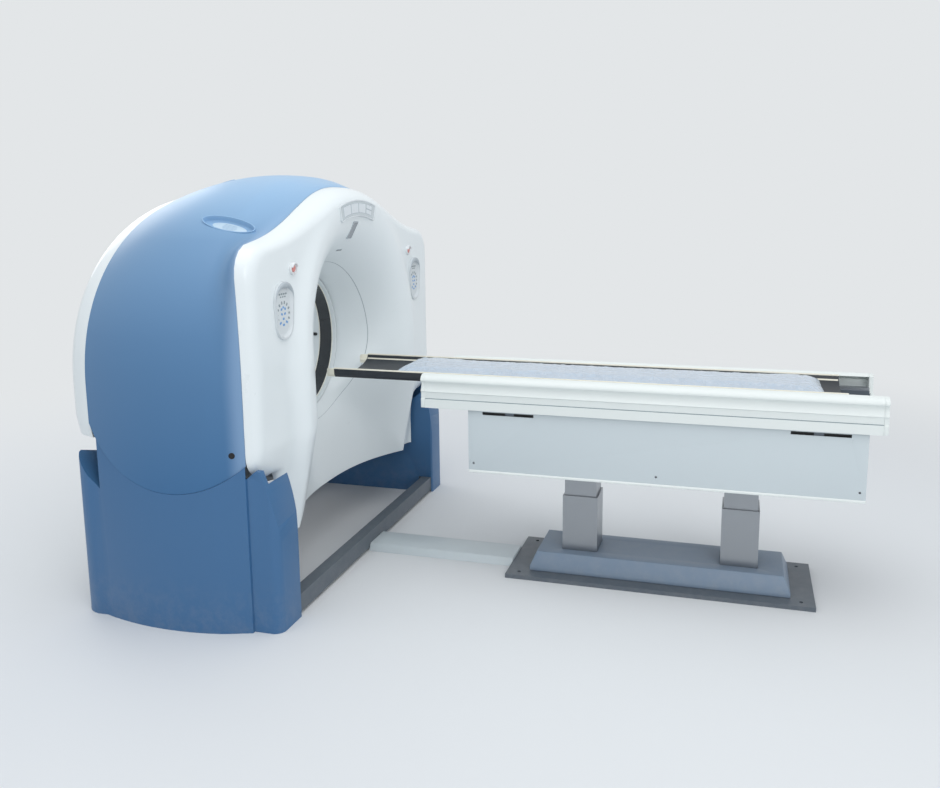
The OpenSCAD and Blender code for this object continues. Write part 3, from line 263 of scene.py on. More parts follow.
def finish(name, base, rough=(0.3, 0.4), grain=900.0, depth=0.00008, waves=0.3, drift=0.04, dust=0.0,
           worn=None, metal=0.0, coat=0.0, top=None, lip=None):
    """Drifting colour, grain and gloss, and where asked wear, dust, or painted light: a fade to a paler colour
    upwards and a painted highlight along the lip.
    """
    found = bpy.data.materials.get(name)
    if found:
        return found
    made, tree, shader, place = new_material(name)
    made.diffuse_color = (*base, 1)
    shade = (*base, 1)
    # Painted light: the colour grows paler with height, as under light from above.
    if top is not None:
        split = add(tree, "ShaderNodeSeparateXYZ", {0: place}).outputs
        stops = [(t, [mix(a, b, share) for a, b in zip(base, top)]) for t, share in PAINTED_LIGHT_STOPS]
        # Painted highlight: the lip colour laid on the band just behind the front seam.
        near = remap(tree, split["Y"], LIP_HIGHLIGHT_FRONT, LIP_HIGHLIGHT_END, LIP_HIGHLIGHT_SHARE, 0, interpolation_type="SMOOTHSTEP")
        shade = blend(tree, near, ramp(tree, remap(tree, split["Z"], PAINTED_LIGHT_FROM, PAINTED_LIGHT_TO), stops), (*lip, 1))
    shade = placed(tree, "Tone Drift", {"Vector": place, "Color": shade, "Drift": drift})["Color"]
    if worn is not None:
        shade = placed(tree, "Edge Wear", {"Vector": place, "Color": shade, "Worn": (*worn, 1)})["Color"]
    if dust:
        dusty = {"Vector": place, "Color": shade, "Dust": (*DUST, 1), "Amount": dust}
        shade = placed(tree, "Floor Dust", dusty)["Color"]
    texture = placed(tree, "Moulded Grain", {"Vector": place, "Size": grain, "Waviness": waves})
    relief = add(tree, "ShaderNodeBump", {"Strength": 1.0, "Distance": depth, "Height": texture["Height"]})
    feed(tree, shader, {
        "Base Color": shade, "Metallic": metal, "Roughness": remap(tree, texture["Mask"], 0.3, 0.7, *rough),
        "Coat Weight": coat, "Coat Roughness": 0.06, "Normal": relief.outputs["Normal"],
    })
    return made


# Ways of making a piece


def deselect():
    if bpy.context.mode != "OBJECT":
        bpy.ops.object.mode_set(mode="OBJECT")
    bpy.ops.object.select_all(action="DESELECT")


def only(piece):
    deselect()
    piece.select_set(True)
    bpy.context.view_layer.objects.active = piece
    return piece


def edit_all(piece, *steps):
    """Runs mesh operators on all of a piece, each given as a call without arguments."""
    only(piece)
    bpy.ops.object.mode_set(mode="EDIT")
    for step in steps:
        bpy.ops.mesh.select_all(action="SELECT")
        step()
    bpy.ops.object.mode_set(mode="OBJECT")
    return piece


def merge_doubles():
    bpy.ops.mesh.remove_doubles(threshold=0.00002)


def outwards():
    bpy.ops.mesh.normals_make_consistent(inside=False)


def read_points(piece):
    flat = np.empty(len(piece.data.vertices) * 3)
    piece.data.vertices.foreach_get("co", flat)
    return flat.reshape(-1, 3)


def write_points(piece, points):
    piece.data.vertices.foreach_set("co", np.asarray(points, float).ravel())
    piece.data.update()
    return piece


def apply_modifier(piece, kind, **settings):
    only(piece)
    step = piece.modifiers.new(kind.title(), kind)
    for key, value in settings.items():
        setattr(step, key, value)
    bpy.ops.object.modifier_apply(modifier=step.name)
    return piece


def named(piece, name):
    piece.name = piece.data.name = name
    return piece


def net(name, points, turned=False):
    """A grid moved to a table of places, with one row of the table for each column of the grid."""
    wide, high = points.shape[:2]
    deselect()
    bpy.ops.mesh.primitive_grid_add(x_subdivisions=wide - 1, y_subdivisions=high - 1, size=2)
    piece = named(bpy.context.object, name)
    flat = read_points(piece)
    column = np.rint((flat[:, 0] + 1) / 2 * (wide - 1)).astype(int)
    row = np.rint((flat[:, 1] + 1) / 2 * (high - 1)).astype(int)
    write_points(piece, points[column, row])
    return edit_all(piece, merge_doubles, *([bpy.ops.mesh.flip_normals] if turned else []))


def smooth(piece, degrees=35):
    only(piece)
    bpy.ops.object.shade_smooth_by_angle(angle=math.radians(degrees))
    return piece


def walled(piece, thickness):
    """Gives a sheet its wall, on the inner side."""
    return apply_modifier(piece, "SOLIDIFY", thickness=thickness, offset=-1, use_quality_normals=True)


def cut(piece, tool):
    """Cuts a closed tool out of a piece, and removes the tool."""
    only(piece)
    step = piece.modifiers.new("Opening", "BOOLEAN")
    step.operation = "DIFFERENCE"
    step.solver = "EXACT"
    step.object = tool
    bpy.ops.object.modifier_apply(modifier=step.name)
    bpy.data.objects.remove(tool, do_unlink=True)
    return piece


def pierce(piece, outline, place, low, rise):
    """Cuts an opening of a flat outline through a cover."""
    return cut(piece, raised("tool", outline, place, low, [(rise, 0)]))


def joined(name, pieces):
    """Several loose pieces made one object."""
    deselect()
    for piece in pieces:
        piece.select_set(True)
    bpy.context.view_layer.objects.active = pieces[0]
    if len(pieces) > 1:
        bpy.ops.object.join()
    return named(pieces[0], name)


def mirrored(piece, name="twin"):
    """The same piece for the other side, with a mesh of its own."""
    twin = piece.copy()
    twin.data = piece.data.copy()
    named(twin, name)
    bpy.context.scene.collection.objects.link(twin)
    twin.data.transform(Matrix.Scale(-1, 4, Vector((1, 0, 0))))
    return edit_all(twin, bpy.ops.mesh.flip_normals)


def paired(name, piece):
    """A piece and its mirror image made one object."""
    return joined(name, [mirrored(piece), piece])


def loop_of(name, points, fill):
    """A circle whose points are moved to a closed loop of places."""
    count = len(points)
    deselect()
    bpy.ops.mesh.primitive_circle_add(vertices=count, radius=1, fill_type=fill)
    piece = named(bpy.context.object, name)
    start = read_points(piece)
    order = np.rint((np.degrees(np.arctan2(-start[:, 0], start[:, 1])) % 360) / 360 * count).astype(int)
    return write_points(piece, np.asarray(points)[order % count])


def raised(name, outline, seat, low, steps):
    """A closed outline in the plane of a seat, raised in steps of (rise, inset) and shaped as it goes."""
    piece = loop_of(name, [(x, z, low) for x, z in outline], "NGON")
    bpy.ops.object.mode_set(mode="EDIT")
    bpy.ops.mesh.select_mode(type="FACE")
    bpy.ops.mesh.select_all(action="SELECT")
    for rise, inset in steps:
        if inset:
            bpy.ops.mesh.inset(thickness=inset, depth=0, use_boundary=True, use_even_offset=True)
            if rise:
                bpy.ops.transform.translate(value=(0, 0, rise))
        else:
            bpy.ops.mesh.extrude_region_move(TRANSFORM_OT_translate={"value": (0, 0, rise)})
    bpy.ops.mesh.select_all(action="SELECT")
    outwards()
    bpy.ops.object.mode_set(mode="OBJECT")
    piece.data.transform(seat)
    return piece


def lathe(name, profile, steps):
    """A profile of (radius, depth forward of the scan plane) spun about the bore."""
    piece = loop_of(name, [(r, -y, ISO) for r, y in profile], "NOTHING")
    bpy.ops.object.mode_set(mode="EDIT")
    bpy.ops.mesh.select_all(action="SELECT")
    bpy.ops.mesh.spin(steps=steps, angle=2 * math.pi, center=(0, 0, ISO), axis=(0, 1, 0))
    bpy.ops.mesh.select_all(action="SELECT")
    merge_doubles()
    outwards()
    bpy.ops.object.mode_set(mode="OBJECT")
    return piece


def rod_along(name, loop, y0, y1):
    """A closed loop of (x, z) points drawn out along the table."""
    return raised(name, loop, seat((0, y0, 0), (1, 0, 0), (0, 0, 1), (0, -1, 0)), 0.0, [(y0 - y1, 0)])


def dressed(node, name, edge, degrees=35, pierced=False):
    """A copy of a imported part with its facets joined, where none is pierced, and its sharp edges rounded."""
    piece = named(bpy.data.objects.new(name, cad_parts[node].data.copy()), name)
    piece.data.materials.clear()
    bpy.context.scene.collection.objects.link(piece)
    edit_all(piece, merge_doubles)
    if not pierced:
        edit_all(piece, lambda: bpy.ops.mesh.dissolve_limited(angle_limit=math.radians(0.6)))
    edit_all(piece, outwards)
    apply_modifier(piece, "BEVEL", width=edge, segments=3, limit_method="ANGLE",
                   angle_limit=math.radians(degrees), miter_outer="MITER_ARC")
    return smooth(piece, 40)


def curve_through(points, steps):
    """A smooth line through points, with so many steps between each pair."""
    p = np.asarray(points, float)
    p = np.vstack([2 * p[0] - p[1], p, 2 * p[-1] - p[-2]])
    t = (np.arange(steps) / steps)[:, None]
    line = []
    for a, b, c, d in zip(p, p[1:], p[2:], p[3:]):
        bend, twist = 2 * a - 5 * b + 4 * c - d, 3 * b - a - 3 * c + d
        line.append(0.5 * (2 * b + (c - a) * t + bend * t**2 + twist * t**3))
    return np.vstack([*line, p[-2]])


def coated(piece, material):
    piece.data.materials.clear()
    piece.data.materials.append(material)
    return piece


def settle(piece, body, material, slot, *nodes):
    """Gives a finished piece its finish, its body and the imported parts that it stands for."""
    coated(piece, material)
    if nodes:
        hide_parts(*nodes)
    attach(piece, body)
    return piece


# Shape of the gantry covers, in metres, about the scan centre

ISO = 1.07
HALF_W, FRONT_HW, ARCH_HW, SKIRT_HW = 1.11, 1.035, 0.64, 0.82
PEAK, SHOULDER, HUMP, HUMP_EASE = 0.797, 0.545, 0.6, 2.3
DOME, DOME_MID, DOME_RUN, DOME_FALL, DOME_FOOT, DOME_SQUARE = 0.842, 0.02, 0.4, 0.09, -0.05, 2.2
SEAM_SIDE, SEAM_TOP, SEAM_REAR, SEAM_GAP = 0.315, 0.255, 0.42, 0.0006
ARCH_RISE, SKIRT_DROP, TAPER_DROP, REAR_DROP = 0.705, 0.75, 0.3, 0.27
RIDGE, CROWN, FLANK, CHANNEL = 0.42, 0.375, 0.37, 0.16
RIDGE_FALL, FLANK_FALL, CHANNEL_EASE, BOWL_EASE, RIDGE_RUN = 0.09, 0.08, 2.5, 0.75, 0.07
BORE_R, RING_R, RING_OUT, HOLE_R = 0.35, 0.36, 0.06, 0.364
CORNER_H, CORNER_IN, CORNER_ROUND = 0.43, 0.11, 0.075
LIP_OUT, LIP_ROLL, ROLL, SIDE_EDGE_R = 0.016, 0.014, 0.16, 0.465
BARREL_MID = 0.0605
NEAREST, FARTHEST, HALVINGS = 0.4, 1.6, 34
REAR_FACE, REAR_ROUND, REAR_FLARE_RUN = 0.545, 0.11, 0.024
FLARE_R, FLARE_BACK, LINER_BACK = 0.56, 0.48, 0.1
WINDOW_HW, LIGHT_W = 0.036, 0.005


def mix(a, b, t):
    return a + (b - a) * t


def bulge(c, n):
    return np.maximum(0, 1 - np.abs(c) ** n) ** (1 / n)


def sine(degrees):
    return np.sin(np.radians(degrees))


def cosine(degrees):
    return np.cos(np.radians(degrees))


def lean_of(points):
    """Angle of each point about the bore, in degrees."""
    return np.degrees(np.arctan2(points[..., 1], points[..., 0]))


def around(angle, reach):
    return np.column_stack([reach * cosine(angle), reach * sine(angle)])


def on_gantry(x, y, z):
    return np.stack([x, y, z + ISO], axis=-1)


def front_top(x):
    """Upper edge of the front cover: two shoulders, a hump and round corners."""
    rise = SHOULDER + (PEAK - SHOULDER) * np.exp(-((np.abs(x) / HUMP) ** HUMP_EASE))
    start = FRONT_HW - CORNER_IN
    fall = CORNER_H + (rise - CORNER_H) * bulge((x - start) / CORNER_IN, 2)
    return np.where(x < start, rise, fall)


def section_w(y):
    narrow = (HALF_W - LIP_OUT - FRONT_HW) * ((y - BARREL_MID) / (BARREL_MID + SEAM_SIDE)) ** 2
    return HALF_W - LIP_OUT - narrow


def dome(x, y):
    top = DOME - DOME_FALL * ((y - DOME_MID) / DOME_RUN) ** 2
    return DOME_FOOT + (top - DOME_FOOT) * bulge(x / section_w(y), DOME_SQUARE)


def ray(angle, y):
    """Distance from the scan centre to a section's outline along an angle."""
    angle, y = np.broadcast_arrays(np.asarray(angle, float), np.asarray(y, float))
    low, high = np.full(angle.shape, NEAREST), np.full(angle.shape, FARTHEST)
    ahead = y < -SEAM_SIDE - 0.001
    for _ in range(HALVINGS):
        r = (low + high) / 2
        x, z = r * cosine(angle), r * sine(angle)
        width = np.where(ahead, FRONT_HW, section_w(y))
        height = np.where(ahead, front_top(x), dome(x, y))
        out = (x > width) | (z > height)
        low, high = np.where(out, low, r), np.where(out, r, high)
    return (low + high) / 2


def front_ray(angle):
    return ray(angle, -SEAM_SIDE - 0.01)


def seam_y(angle):
    return -mix(SEAM_SIDE, SEAM_TOP, np.where(angle > 0, sine(angle) ** 2, 0))


def rolled(front, side, back):
    """A reach that turns from the front cover's to the side cover's behind the seam, with the lip on it."""
    return mix(front, side, sine(90 * np.clip(back / ROLL, 0, 1))) + LIP_OUT * (1 - np.exp(-back / LIP_ROLL))


def skin_ray(angle, y):
    return rolled(front_ray(angle), ray(angle, y), y - seam_y(angle))


def skin_w(y):
    return rolled(FRONT_HW, section_w(y), np.maximum(0, y + SEAM_SIDE))


def fold(angle):
    return np.where(np.abs(angle) > 90, 180 - np.abs(angle), np.abs(angle))


# Legs of the front cover: levels on the ridge, and the half width and level of the outer edge beside them

LEVELS = np.array([-0.75, -0.6225, -0.54, -0.492, -0.432, -0.348, -0.258, -0.18, -0.11, -0.05, 0.0])
LEG_X = np.array([0.82, 0.82, 0.82, 0.824, 0.845, 0.9, 0.955, 1.027, 1.035, 1.035, 1.035])
LEG_Z = np.array([-0.75, -0.6225, -0.54, -0.468, -0.428, -0.423, -0.42, -0.348, -0.24, -0.12, 0.0])
OTHER_SIDE = np.array([-1, 1])


def taper(z):
    return np.clip((-z - TAPER_DROP) / (SKIRT_DROP - TAPER_DROP), 0, 1)


def crest_line():
    """The door-shaped ridge round the recess, and the outer edge that belongs to each of its points."""
    legs = curve_through(np.column_stack([LEVELS, LEG_X, LEG_Z]), 5)
    legs[:, 1] = np.maximum(legs[:, 1], SKIRT_HW)
    right = np.column_stack([np.full(len(legs), ARCH_HW), legs[:, 0]])
    edge = legs[:, 1:]
    sweep = np.linspace(0, 180, 97)[1:-1]
    arch = np.column_stack([ARCH_HW * cosine(sweep), ARCH_RISE * sine(sweep)])
    lean = lean_of(arch)
    top = around(lean, front_ray(fold(lean)))
    crest = np.vstack([right, arch, right[::-1] * OTHER_SIDE])
    return crest, np.vstack([edge, top, edge[::-1] * OTHER_SIDE]), len(legs)


def crest_out(p):
    x, z = p[..., 0], p[..., 1]
    high = mix(RIDGE, CROWN, z / ARCH_RISE)
    side = RIDGE - RIDGE_FALL * taper(z)
    floor = CHANNEL + (RIDGE - RIDGE_FALL - CHANNEL) * (np.abs(x) / ARCH_HW) ** CHANNEL_EASE
    on_floor = (z <= -SKIRT_DROP + 1e-6) & (np.abs(x) < ARCH_HW - 1e-6)
    return np.where(z > 0, high, np.where(on_floor, floor, side))


def floor_line(half_width):
    return np.column_stack([np.linspace(-half_width, half_width, 41)[1:-1], np.full(39, -SKIRT_DROP)])


def recess_ring():
    """The ridge closed along the floor, as a loop that ends where it starts."""
    crest = crest_line()[0]
    return np.vstack([crest, floor_line(ARCH_HW), crest[:1]])


def bowl_out(share, depth):
    """How far the wall of the recess stands forward, at a share of its way from the bore to the ridge."""
    return mix(RING_OUT, depth, sine(90 * share**BOWL_EASE))


def bowl_net(rows=30):
    """The recess, from the hole round the bore out to the ridge."""
    ring = recess_ring()
    hole = around(lean_of(ring), HOLE_R)
    s = np.linspace(0, 1, rows)[None, :]
    x, z = mix(hole[:, :1], ring[:, :1], s), mix(hole[:, 1:], ring[:, 1:], s)
    return on_gantry(x, -bowl_out(s, crest_out(ring)[:, None]), z)


def corner(u, start):
    """Rise of a rounded corner that begins at a share of the way out."""
    return np.where(u < start, 0, 1 - bulge(np.clip((u - start) / (1 - start), 0, 1), 2))


def brow_net(rows=44):
    """The face from the ridge to the outer edge, with its rounded corner."""
    crest, edge, legs = crest_line()
    u = np.linspace(0, 1, rows)[None, :]
    u = np.where(u < 0.5, u * 0.9, 0.45 + (u - 0.5) * 1.1)
    span = np.linalg.norm(edge - crest, axis=1)[:, None]
    e = corner(u, np.maximum(0.2, 1 - CORNER_ROUND / span))
    w = np.exp(-((u * span / RIDGE_RUN) ** 2))
    x, z = mix(crest[:, :1], edge[:, :1], u), mix(crest[:, 1:], edge[:, 1:], u)
    flank = FLANK - FLANK_FALL * taper(z)
    index = np.arange(len(crest))
    on_leg = (index < legs) | (index >= len(crest) - legs)
    depth = np.where(on_leg, SEAM_SIDE, -seam_y(fold(lean_of(edge))))[:, None]
    y = -(flank + (crest_out(crest)[:, None] - flank) * w * (1 - e) + (depth - flank) * e)
    return on_gantry(x, y, z)


def side_net(columns=110, rows=46):
    """The right side cover, from its lower edge up over the shoulder to the middle of the dome."""

    def edge_angle(y):
        return -np.degrees(np.arctan2(np.sqrt(SIDE_EDGE_R**2 - y * y), skin_w(y)))

    t = (np.linspace(0, 1, columns) ** 0.9)[:, None]
    v = (np.linspace(0, 1, rows) ** 1.7)[None, :]
    rough = seam_y(mix(edge_angle(np.array(-SEAM_SIDE)), 90, t))
    y0 = seam_y(mix(edge_angle(rough), 90, t)) + SEAM_GAP
    y = mix(y0, SEAM_REAR - SEAM_GAP, v)
    angle = mix(edge_angle(y), 90, t)
    r = skin_ray(angle, y)
    return on_gantry(np.maximum(r * cosine(angle), SEAM_GAP / 2), y, r * sine(angle))


def rear_net(rows=34):
    """The rear cover, from the flare out to its rounded edge."""
    w_rear = float(section_w(np.array(SEAM_REAR)))
    legs = np.array([
        [SKIRT_HW, -SKIRT_DROP], [SKIRT_HW, -0.75 * SKIRT_DROP], [SKIRT_HW, -0.55 * SKIRT_DROP],
        [SKIRT_HW + 0.02, -REAR_DROP - 0.06], [mix(SKIRT_HW, w_rear, 0.5), -REAR_DROP - 0.014],
        [w_rear - 0.004, -REAR_DROP],
    ])
    sweep = np.linspace(-10, 190, 121)
    arch = around(sweep, ray(fold(sweep), SEAM_REAR) + LIP_OUT)
    fine = np.vstack([mix(a, b, t) for a, b in zip(legs, legs[1:]) for t in np.arange(6) / 6] + [legs[-1]])
    ring = np.vstack([fine, arch, fine[::-1] * OTHER_SIDE, floor_line(SKIRT_HW), fine[:1]])
    inner = around(lean_of(ring), FLARE_R + 0.008)
    span = np.linalg.norm(ring - inner, axis=1)[:, None]
    u = np.linspace(0, 1, rows)[None, :]
    w = np.exp(-((u * span / REAR_FLARE_RUN) ** 2))
    x, z = mix(inner[:, :1], ring[:, :1], u), mix(inner[:, 1:], ring[:, 1:], u)
    e = corner(u, np.maximum(0.3, 1 - REAR_ROUND / span))
    return on_gantry(x, mix(REAR_FACE, SEAM_REAR, e) - (REAR_FACE - FLARE_BACK - 0.012) * w, z)


# Seats: where a flat outline is put on a cover

PROBE, BOWL_PROBE = 0.03, 0.012


def seat(origin, across, up, out):
    rows = np.column_stack([across, up, out, origin])
    return Matrix([*map(list, rows), [0, 0, 0, 1]])


def on_flank(x, z, depth):
    return seat((x, -depth, ISO + z), (1, 0, 0), (0, 0, 1), (0, -1, 0))


def skin_point(angle, y):
    r = float(skin_ray(angle, y))
    return np.array([r * cosine(angle), y, r * sine(angle) + ISO])


def skin_at(x, y):
    return skin_point(np.degrees(np.arctan2(dome(np.array(x), np.array(y)), x)), y)


def upright(point, up, out):
    """A seat at a point from its rough directions up and out of the cover."""
    up, out = up / np.linalg.norm(up), out / np.linalg.norm(out)
    return seat(point, np.cross(up, out), up, out)


def on_skin(x, y):
    """A seat on the right side cover: its up runs along the gantry's depth."""
    along = skin_at(x, y + PROBE) - skin_at(x, y - PROBE)
    return upright(skin_at(x, y), along, np.cross(skin_at(x + PROBE, y) - skin_at(x - PROBE, y), along))


def bowl_depth(r):
    return float(bowl_out((r - HOLE_R) / (ARCH_RISE - HOLE_R), CROWN))


def on_bowl(r):
    """A seat on the recess above the bore: its up runs outwards along the wall."""
    lean = math.atan((bowl_depth(r + BOWL_PROBE) - bowl_depth(r - BOWL_PROBE)) / (2 * BOWL_PROBE))
    return seat((0, -bowl_depth(r), ISO + r), (1, 0, 0), (0, -math.sin(lean), math.cos(lean)),
                (0, -math.cos(lean), -math.sin(lean)))


# Places and sizes of what sits on the covers: an opening is cut wider than its piece by the play

PLAY = 0.0006
PANEL_X, PANEL_Z, PANEL_W, PANEL_H, PANEL_BACK = 0.775, 0.27, 0.158, 0.25, 0.346
STOP_X, STOP_Z, STOP_W, STOP_CAP_W, STOP_VISOR_R = 0.682, 0.443, 0.054, 0.03, 0.0268
KEY_ARC_R = 0.05
DISPLAY_LOW, DISPLAY_HIGH, DISPLAY_HALF, DISPLAY_ROUND, DISPLAY_BACK = 0.651, 0.735, 17, 0.012, 0.353
PANE_RIM, READOUT_R = 0.008, 0.69
READOUTS = ((-10.6, 3.2, 0.672, 0.716), (-3.4, 3.2, 0.672, 0.716), (3.8, 3.2, 0.672, 0.716),
            (10.6, 2.6, 0.672, 0.692), (10.6, 2.6, 0.698, 0.716))
LASERS = ((0.582, 0.054, 0.096, 0.004), (0.482, 0.062, 0.013, 0.003))
GRIP_AT, GRIP_W, GRIP_H, SLOT_PITCH = (0.745, -0.118), 0.092, 0.255, 0.007
CAP_AT, CAP_W, CAP_H = (0.178, 0.245), 0.05, 0.096
PLUG_ANGLE, PLUG_Y, PLUG_W = -15.6, -0.265, 0.026
JOINT_R = 0.42


# Flat outlines


def oval(width, height, points=64):
    a = np.linspace(0, 2 * math.pi, points, endpoint=False)
    return np.column_stack([np.cos(a) * width / 2, np.sin(a) * height / 2])


def rounded(width, height, radius, points=8):
    quarter = np.linspace(0, math.pi / 2, points)
    out = []
    for sx, sz, k in ((1, 1, 0), (-1, 1, 1), (-1, -1, 2), (1, -1, 3)):
        turn = quarter + k * math.pi / 2
        centre = np.array([sx * (width / 2 - radius), sz * (height / 2 - radius)])
        out.append(centre + radius * np.column_stack([np.cos(turn), np.sin(turn)]))
    return np.vstack(out)


def egg(width, height, points=72):
    """Outline of a control panel: a wide round top and a slightly narrower foot."""
    a = np.linspace(0, 2 * math.pi, points, endpoint=False)
    top, low, r1, r2 = height / 2 - width / 2, width * 0.44 - height / 2, width / 2, width * 0.44
    slope = math.asin((r1 - r2) / (top - low))
    out = []
    for t in a:
        t = t if t < math.pi else t - 2 * math.pi
        high = -slope <= t <= math.pi + slope or t <= -math.pi + slope
        c, r = (top, r1) if high else (low, r2)
        out.append((r * math.cos(t), c + r * math.sin(t)))
    return np.array(out)


def refined(outline, step=0.01):
    """The same outline with its long edges split."""
    out = []
    for a, b in zip(outline, np.roll(outline, -1, axis=0)):
        count = max(1, int(np.ceil(np.linalg.norm(b - a) / step)))
        out += [mix(a, b, k / count) for k in range(count)]
    return np.array(out)


def arch_band(inner, outer, half_angle, radius):
    """Outline of a slice of a ring above the scan centre, with rounded corners."""
    middle = (inner + outer) / 2
    flat = refined(rounded(2 * math.radians(half_angle) * middle, outer - inner, radius))
    turn, r = flat[:, 0] / middle, middle + flat[:, 1]
    return np.column_stack([r * np.sin(turn), r * np.cos(turn)])


def spun(outline, turn):
    """A flat outline turned anticlockwise by an angle in radians."""
    return outline @ np.array([[math.cos(turn), math.sin(turn)], [-math.sin(turn), math.cos(turn)]])


def looks(part):
    return getattr(bpy.context.scene, "scanner_" + part)


# Finishes, by the piece that wears them


def white_finish():
    return finish("gloss white cover", looks("covers").white, (0.27, 0.31), 1100, 0.00003, 0.15, 0.012,
                  coat=0.2)


def side_finish():
    blues = looks("covers")
    # Painted light: paler high up where light falls from above, with a painted highlight on the lip.
    return finish("side cover blue with painted light", blues.blue_painted_shade_low, (0.34, 0.38), 1100, 0.00004, 0.2, 0.02,
                  top=blues.blue_painted_light_top, lip=blues.lip)


def base_finish():
    return finish("base cover blue", looks("covers").base_blue, (0.38, 0.44), 1000, 0.00006, 0.2, 0.03,
                  dust=0.1)


def bore_finish():
    return finish("bore white", looks("bore").ring, (0.3, 0.42), 800, 0.00006, 0.3, 0.03)


def window_finish():
    return finish("scan window film", looks("bore").window, (0.12, 0.2), 500, 0.00003, 0.2, 0.05, coat=0.4)


def glow_finish():
    return finish("light ring diffuser", tint("f2f1e6"), (0.4, 0.5), 900, 0.00004, 0.2, 0.03)


def black_finish():
    return finish("black moulding", tint("15171a"), (0.35, 0.5), 900, 0.00008, 0.3, 0.1)


def steel_finish():
    return finish("bare steel", tint("a4a8ad"), (0.28, 0.42), 1500, 0.00004, 0.2, 0.06, metal=1.0)


def frame_finish():
    return finish("painted frame", tint("5d666f"), (0.42, 0.52), 900, 0.0001, 0.15, 0.03, dust=0.08)


def alloy_finish():
    return finish("cast alloy", tint("9b9fa3"), (0.42, 0.58), 350, 0.0003, 0.4, 0.08, metal=0.85)


def machine_finish():
    return finish("machine enamel", tint("3a4047"), (0.38, 0.52), 700, 0.00012, 0.3, 0.06,
                  worn=tint("80868c"))


def unit_finish():
    return finish("unit housing", tint("989fa6"), (0.35, 0.48), 900, 0.0001, 0.3, 0.05, worn=tint("c9cdd0"))


def brass_finish():
    return finish("slip ring brass", tint("b88a52"), (0.22, 0.36), 1500, 0.00003, 0.1, 0.08, metal=1.0)


def rubber_finish():
    return finish("belt rubber", tint("17181a"), (0.6, 0.75), 500, 0.0002, 0.2, 0.08)


def table_finish():
    return finish("table white", looks("table").white, (0.3, 0.42), 700, 0.00008, 0.4, 0.04)


def panel_finish():
    return finish("table side panel", tint("ccd6da"), (0.4, 0.48), 900, 0.00008, 0.2, 0.02, dust=0.06)


def cream_finish():
    return finish("rail cream", looks("table").cream, (0.32, 0.45), 800, 0.00008, 0.3, 0.05)


def carbon_finish():
    return finish("cradle shell", looks("table").cradle, (0.3, 0.42), 420, 0.0001, 0.3, 0.12)


def foot_finish():
    return finish("table foot blue", tint("7c8ea2"), (0.42, 0.5), 900, 0.00008, 0.2, 0.04, dust=0.12)


# The stage

CAMERA_AT, CAMERA_AHEAD = Vector((-4.105, -2.24, 1.813)), Vector((0.952, 0.260, -0.161)).normalized()
CAMERA_ROLL, CAMERA_SHIFT, SENSOR = math.radians(-0.25), (-0.033, -0.057), 36
LAMPS = (
    ("ceiling_light", (-1.5, -1.5, 5.2), (0, -0.8, 0.8), 5.0, 88),
    ("left_light", (-6.0, -5.5, 3.6), (0, -0.6, 0.9), 3.5, 85),
    ("rear_light", (3.5, 5.5, 3.8), (0, 0, 1.0), 4.0, 60),
)
FLOOR_SIZE, FLOOR_FADE_FROM, FLOOR_FADE_TO = 60, 2.4, 6.0
SKY, SKY_LIGHT = (0.93, 0.96, 1.0, 1), 0.72


def seen_directly(tree):
    """1 for rays from the camera, a mirror or glass, and 0 for the rays that light the object."""
    path = add(tree, "ShaderNodeLightPath").outputs
    seen = maths(tree, "MAXIMUM", path["Is Camera Ray"], path["Is Glossy Ray"])
    return maths(tree, "MAXIMUM", seen, path["Is Transmission Ray"])


def either(tree, share, first, second):
    """The surface or background that a share picks."""
    return add(tree, "ShaderNodeMixShader", {"Fac": share, 1: first, 2: second}).outputs[0]


def floor_finish(shade):
    """Matt floor that takes the object's shadow and runs out into the backdrop's colour."""
    made, tree, shader, place = new_material("studio floor")
    tone = placed(tree, "Tone Drift", {"Vector": place, "Color": (*shade, 1), "Drift": 0.01, "Scale": 0.6})
    feed(tree, shader, {"Base Color": tone["Color"], "Roughness": 0.75})
    reach = add(tree, "ShaderNodeVectorMath", {0: place}, operation="LENGTH").outputs["Value"]
    fade = remap(tree, reach, FLOOR_FADE_FROM, FLOOR_FADE_TO, interpolation_type="SMOOTHSTEP")
    plain = add(tree, "ShaderNodeEmission", {"Color": (*shade, 1), "Strength": 1.0}).outputs[0]
    share = maths(tree, "MULTIPLY", fade, seen_directly(tree))
    feed(tree, tree.nodes["Material Output"], {"Surface": either(tree, share, shader.outputs[0], plain)})
    return made


# Operators, one for each piece or group of like pieces


